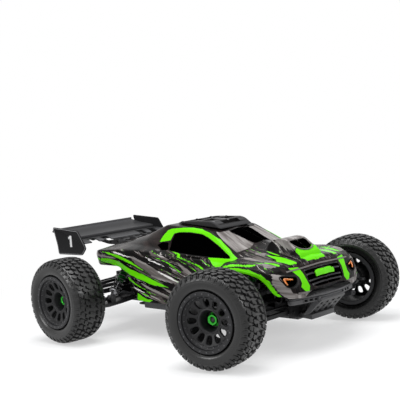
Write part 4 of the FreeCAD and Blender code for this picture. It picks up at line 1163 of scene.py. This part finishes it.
def make_front_bumper():
    """A swept bar with stepped corners, and the sloping, perforated skid below it."""
    half = [(292, 28), (304, 52), (309, 88), (312, 104), (318, 108), (327, 104), (333, 86), (339, 60),
            (346, 38), (349, 20)]
    bar_outline = rounded([(x, -y) for x, y in half] + [(x, y) for x, y in half[::-1]], 3, 3)
    bar = prism("bar", bar_outline, 103.5, 113.5, "Z", 30, 1.4)
    cutters = []
    for sign in (1, -1):
        window = [(314, sign * 44), (330, sign * 42), (325, sign * 76), (315, sign * 84)]
        cutters.append(prism("window", rounded(window, 3, 3), 95, 125, "Z"))
        for y in (47, 60, 73):
            x = 343 - (y - 30) * 0.24
            slot = [(x - 9, sign * y - 4), (x + 12, sign * y - 4),
                    (x + 12, sign * y + 4), (x - 9, sign * y + 4)]
            cutters.append(prism("slot", rounded(slot, 1.5, 3), 106.2, 111, "Z"))
    middle = [(300, -22), (320, -26), (320, 26), (300, 22)]
    cutters.append(prism("middle", rounded(middle, 3, 3), 95, 125, "Z"))
    bar = cut_mesh("bar", bar, cutters)
    lip_outline = [(x + 2, -y) for x, y in half[3:]] + [(x + 2, y) for x, y in half[3:][::-1]]
    lip = prism("lip", rounded(lip_outline, 3, 3), 114, 117, "Z", 30, 0.8)
    holes = [oblong(x, y, 7, 9) for x in (-18, -4, 10) for y in (-30, -10, 10, 30)]
    slope = Matrix.Translation(Vector((333, 0, 91)) * MM) @ Matrix.Rotation(math.radians(-42), 4, "Y")
    plate = [(-24, -40), (20, -44), (25, -38), (25, 38), (20, 44), (-24, 40)]
    skid = perforated("skid", rounded(plate, 4, 4), holes, 5, slope)
    flat = prism("tongue", rounded([(284, -33), (322, -40), (322, 40), (284, 33)], 3, 3), 61, 72, "Z", 30, 1)
    ribs = []
    for y in (-42, -20, 0, 20, 42):
        rib = [(302, 70), (318, 73), (346, 100), (349, 112), (338, 112), (318, 88)]
        ribs.append(prism("rib", rib, y - 1.5, y + 1.5, "Y", 30, 0.4))
    bolts = [upright_bolt((330, y, 113.5), 3.2, 2.2, 1.5) for y in (-30, 30)]
    detail("front_bumper_bar", joined("f", [bar, lip, *ribs]), BUMPER_GREY, "front_bumper")
    detail("front_skid_plate", joined("f", [skid, flat]), BUMPER_DARK, "front_bumper")
    detail("front_bumper_bolts", joined("f", bolts), BOLT_BLACK, "front_bumper")


def nose_x(y, z):
    """How far forward the shell's skin is at a place on its nose."""
    hit = SKIN.ray_cast(Vector((400, y, z)), Vector((-1, 0, 0)))
    return hit[0].x if hit[0] else 300.0


def nose_bar(name, ys, z_at, height, depth, out):
    """A bar that lies along the nose: z_at gives its height at each distance from the middle."""
    rows, lows = [], []
    for y in ys:
        z = z_at(y)
        spots = [(nose_x(y, z - height / 2), z - height / 2), (nose_x(y, z), z),
                 (nose_x(y, z + height / 2), z + height / 2)]
        rows.append([(x + out, y, level) for x, level in spots])
        lows.append([(x + out - depth, y, level) for x, level in spots])
    points, faces = solid_rows(rows, lows)
    return mesh_of(name, points, [face[::-1] for face in faces], 30)


def make_nose():
    """Grille slats, the raised lime bar, headlight rims and a lower lip."""
    slats = [nose_bar("slat", np.linspace(-w, w, 25), lambda y, z=z: z - y * y * 0.0006, 2.6, 5.5, 0.6)
             for w, z in ((57, 169.5), (56, 160.5), (54, 147.5), (50, 139.5))]
    posts = [nose_bar("post", [y - 1.2, y + 1.2], lambda _: 152, 34, 4, -1.0) for y in (-36, 36)]
    detail("grille_slats", joined("g", slats + posts), SKID_BLACK, "body_shell")
    bar = nose_bar("bar", np.linspace(-31, 31, 15), lambda y: 158 - y * y * 0.0012, 9.5, 6, 2.2)
    detail("grille_lime_bar", bar, LIME_PAINT, "body_shell")
    lip = nose_bar("lip", np.linspace(-96, 96, 33), lambda y: 124.5 + abs(y) * 0.03, 4.0, 5, 1.6)
    crease = nose_bar("crease", np.linspace(-104, 104, 35), lambda y: 175.5 - abs(y) * 0.035, 2.4, 4, 1.0)
    detail("nose_lips", joined("g", [lip, crease]), NOSE_GREY_PAINT, "body_shell")
    for side, sign in (("l", 1), ("r", -1)):
        ring = [(nose_x(sign * y, z) + 0.4, sign * y, z)
                for y, z in smooth_line([*HEADLIGHT, HEADLIGHT[0]], 5)]
        rim = tube("rim", ring, 1.1, 8)
        glow = [(97, 156), (107, 158.4), (116.5, 159.8), (116.5, 153), (113, 147.2)]
        lens = [(nose_x(sign * y, z) + 0.6, sign * y, z) for y, z in smooth_line(glow, 4)]
        detail(f"headlight_rim_{side}", rim, SKID_BLACK, "body_shell")
        detail(f"headlight_glow_{side}", tube("lens", lens, 1.3, 8), AMBER, "body_shell")
    edge = smooth_line([(x, y, 0) for x, y in HOLE[1:-1]] + [(x, -y, 0) for x, y in HOLE[1:-1][::-1]] +
                        [(HOLE[1][0], HOLE[1][1], 0)], 4)
    ring = []
    for x, y, _ in edge:
        hit = SKIN.ray_cast(Vector((x, y * 1.07, 300)), Vector((0, 0, -1)))
        ring.append((x + (1.2 if x > 280 else -1.2), y * 1.07, hit[0].z + 0.3))
    detail("scoop_rim", tube("scoop", ring, 1.5, 8), NOSE_GREY_PAINT, "body_shell")


def make_wing_mount():
    """Two cranked side plates from the rear deck to the blade, a cross tube, a foot and its screws."""
    side = [(-176, 218), (-200, 212.5), (-262, 203), (-300, 204), (-338, 211), (-368, 224), (-370, 228),
            (-351, 225.4), (-346, 219.2), (-316, 217.3), (-303, 212.8), (-268, 217), (-236, 224),
            (-200, 228)]
    window = [(-210, 219), (-236, 214), (-262, 210), (-264, 213), (-236, 219.5), (-214, 223.5)]
    parts = []
    for y in (-62, -22, 22, 62):
        plate = prism("strut", rounded(side, 4, 3), y - 2.2, y + 2.2, "Y", 30, 0.6)
        parts.append(cut_mesh("strut", plate, [prism("window", rounded(window, 2, 3), y - 9, y + 9, "Y")]))
    for x, z in ((-226, 216.5), (-290, 210), (-334, 216)):
        parts.append(tube("cross", [(x, -66, z), (x, 0, z), (x, 66, z)], 2.6, 12))
    foot = [(-182, -68), (-256, -68), (-256, 68), (-182, 68)]
    parts.append(prism("foot", rounded(foot, 6, 4), 208, 217, "Z", 30, 1))
    screws = [upright_bolt((x, y, 216.8), 2.8, 1.8, 1.3)
              for x, y in ((-196, -50), (-196, 50), (-246, -50), (-246, 50), (-196, 0), (-246, 0))]
    detail("wing_mount_struts", joined("m", parts), SKID_BLACK, "wing_mount")
    detail("wing_mount_screws", joined("m", screws), BOLT_BLACK, "wing_mount")


def shell_skin():
    """The shell's outside as a surface to lay details on, in millimetres from the middle of the wheelbase."""
    grid = SHELL_SURFACE[0]
    rows, columns = grid.shape[:2]
    return BVHTree.FromPolygons([tuple(p) for p in grid.reshape(-1, 3)], grid_faces(rows, columns))


SKIN = shell_skin()
BUMPER_DARK = material("skid_dark", (0.008, 0.008, 0.009), 0.42, bump=0.10, wear=0.25, specular=0.3)
LIME_PAINT = material("lime_paint", (0.115, 0.60, 0.003), 0.3, wear=0.0, variation=0.05, specular=0.2)
NOSE_GREY_PAINT = material("nose_grey", (0.12, 0.11, 0.105), 0.32, wear=0.0, variation=0.3, specular=0.25)
AMBER = material("amber_lamp", (0.70, 0.22, 0.04), 0.2, wear=0.0, coat=0.6)
make_front_bumper()
make_nose()
make_wing_mount()


# ---------------------------------------------------------------- shock springs
SPRING_RADIUS, WIRE_RADIUS, SPRING_TURNS, CLOSED_TURNS = 11.8, 1.3, 7.5, 0.8
COLLAR_DEPTH, SEAT_DEPTH = 24, 94


def coil_mesh(eye, down):
    """A round-wire coil with closed ends, from a shock's collar to its lower seat, below its upper eye."""
    across = Vector((1, 0, 0))
    third = down.cross(across)
    top, low = COLLAR_DEPTH + WIRE_RADIUS + 0.2, SEAT_DEPTH - WIRE_RADIUS - 0.2
    closed_rise = CLOSED_TURNS * 2.1 * WIRE_RADIUS
    turned = (0, CLOSED_TURNS, SPRING_TURNS - CLOSED_TURNS, SPRING_TURNS)
    depths = (top, top + closed_rise, low - closed_rise, low)
    path = []
    for turn in np.arange(0, SPRING_TURNS + 0.01, 1 / 28):
        angle = 2 * math.pi * turn
        out = across * math.cos(angle) + third * math.sin(angle)
        path.append(eye / MM + down * float(np.interp(turn, turned, depths)) + out * SPRING_RADIUS)
    return tube("coil", path, WIRE_RADIUS, 12)


def make_springs():
    """One coil on each shock, from below its upper eye down to its lower seat, set along the shock's axis."""
    joints = {joint["name"]: joint for joint in frame["joints"]}
    for corner in CORNERS:
        eye = Vector(joints["damper_" + corner]["pos_m"])
        down = -Vector(joints["piston_" + corner]["axis"]).normalized()
        mesh = coil_mesh(eye, down)
        mesh.materials.append(SPRING_BLACK)
        coil = bpy.data.objects.new("shock_coil_" + corner, mesh)
        bpy.context.collection.objects.link(coil)
        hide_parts("shock_spring_" + corner)
        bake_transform(coil)


make_springs()

NODE_FINISH = {
    "lower_arm": ARM_PLASTIC, "upper_arm": ARM_PLASTIC, "hub_carrier": ARM_PLASTIC,
    "caster_block": ARM_PLASTIC, "steering_knuckle": ARM_PLASTIC, "toe_link": DARK_STEEL,
    "steering_rack": DARK_STEEL, "half_shaft": DARK_STEEL, "center_driveshaft": DARK_STEEL,
    "shock_shaft": STEEL, "shock_body": SHOCK_GREEN, "chassis_tub": TUB_PLASTIC,
    "front_bumper": BUMPER_GREY, "rear_bumper": TUB_PLASTIC, "gearbox_housings": TUB_PLASTIC,
    "shock_towers": TOWER_METAL, "motor": MOTOR_BLACK, "speed_controller": CASE_BLACK,
    "steering_servo": CASE_BLACK, "servo_horn": ARM_PLASTIC, "battery_packs": WRAP_DARK,
    "roof_skid": SKID_BLACK, "wing_mount": SKID_BLACK, "wing": WING_BLACK, "shock_spring": SPRING_BLACK,
    "body_shell": SKID_BLACK, "tyre": RUBBER, "rim": RIM_BLACK, "stub_axle": NUT_GREEN,
}


def finish_cad_nodes():
    """Gives every CAD node its finish."""
    for name, node in frame["nodes"].items():
        kind = name[:-3] if name[-2:] in CORNERS else name
        node.data.materials.clear()
        node.data.materials.append(NODE_FINISH[kind])


finish_cad_nodes()
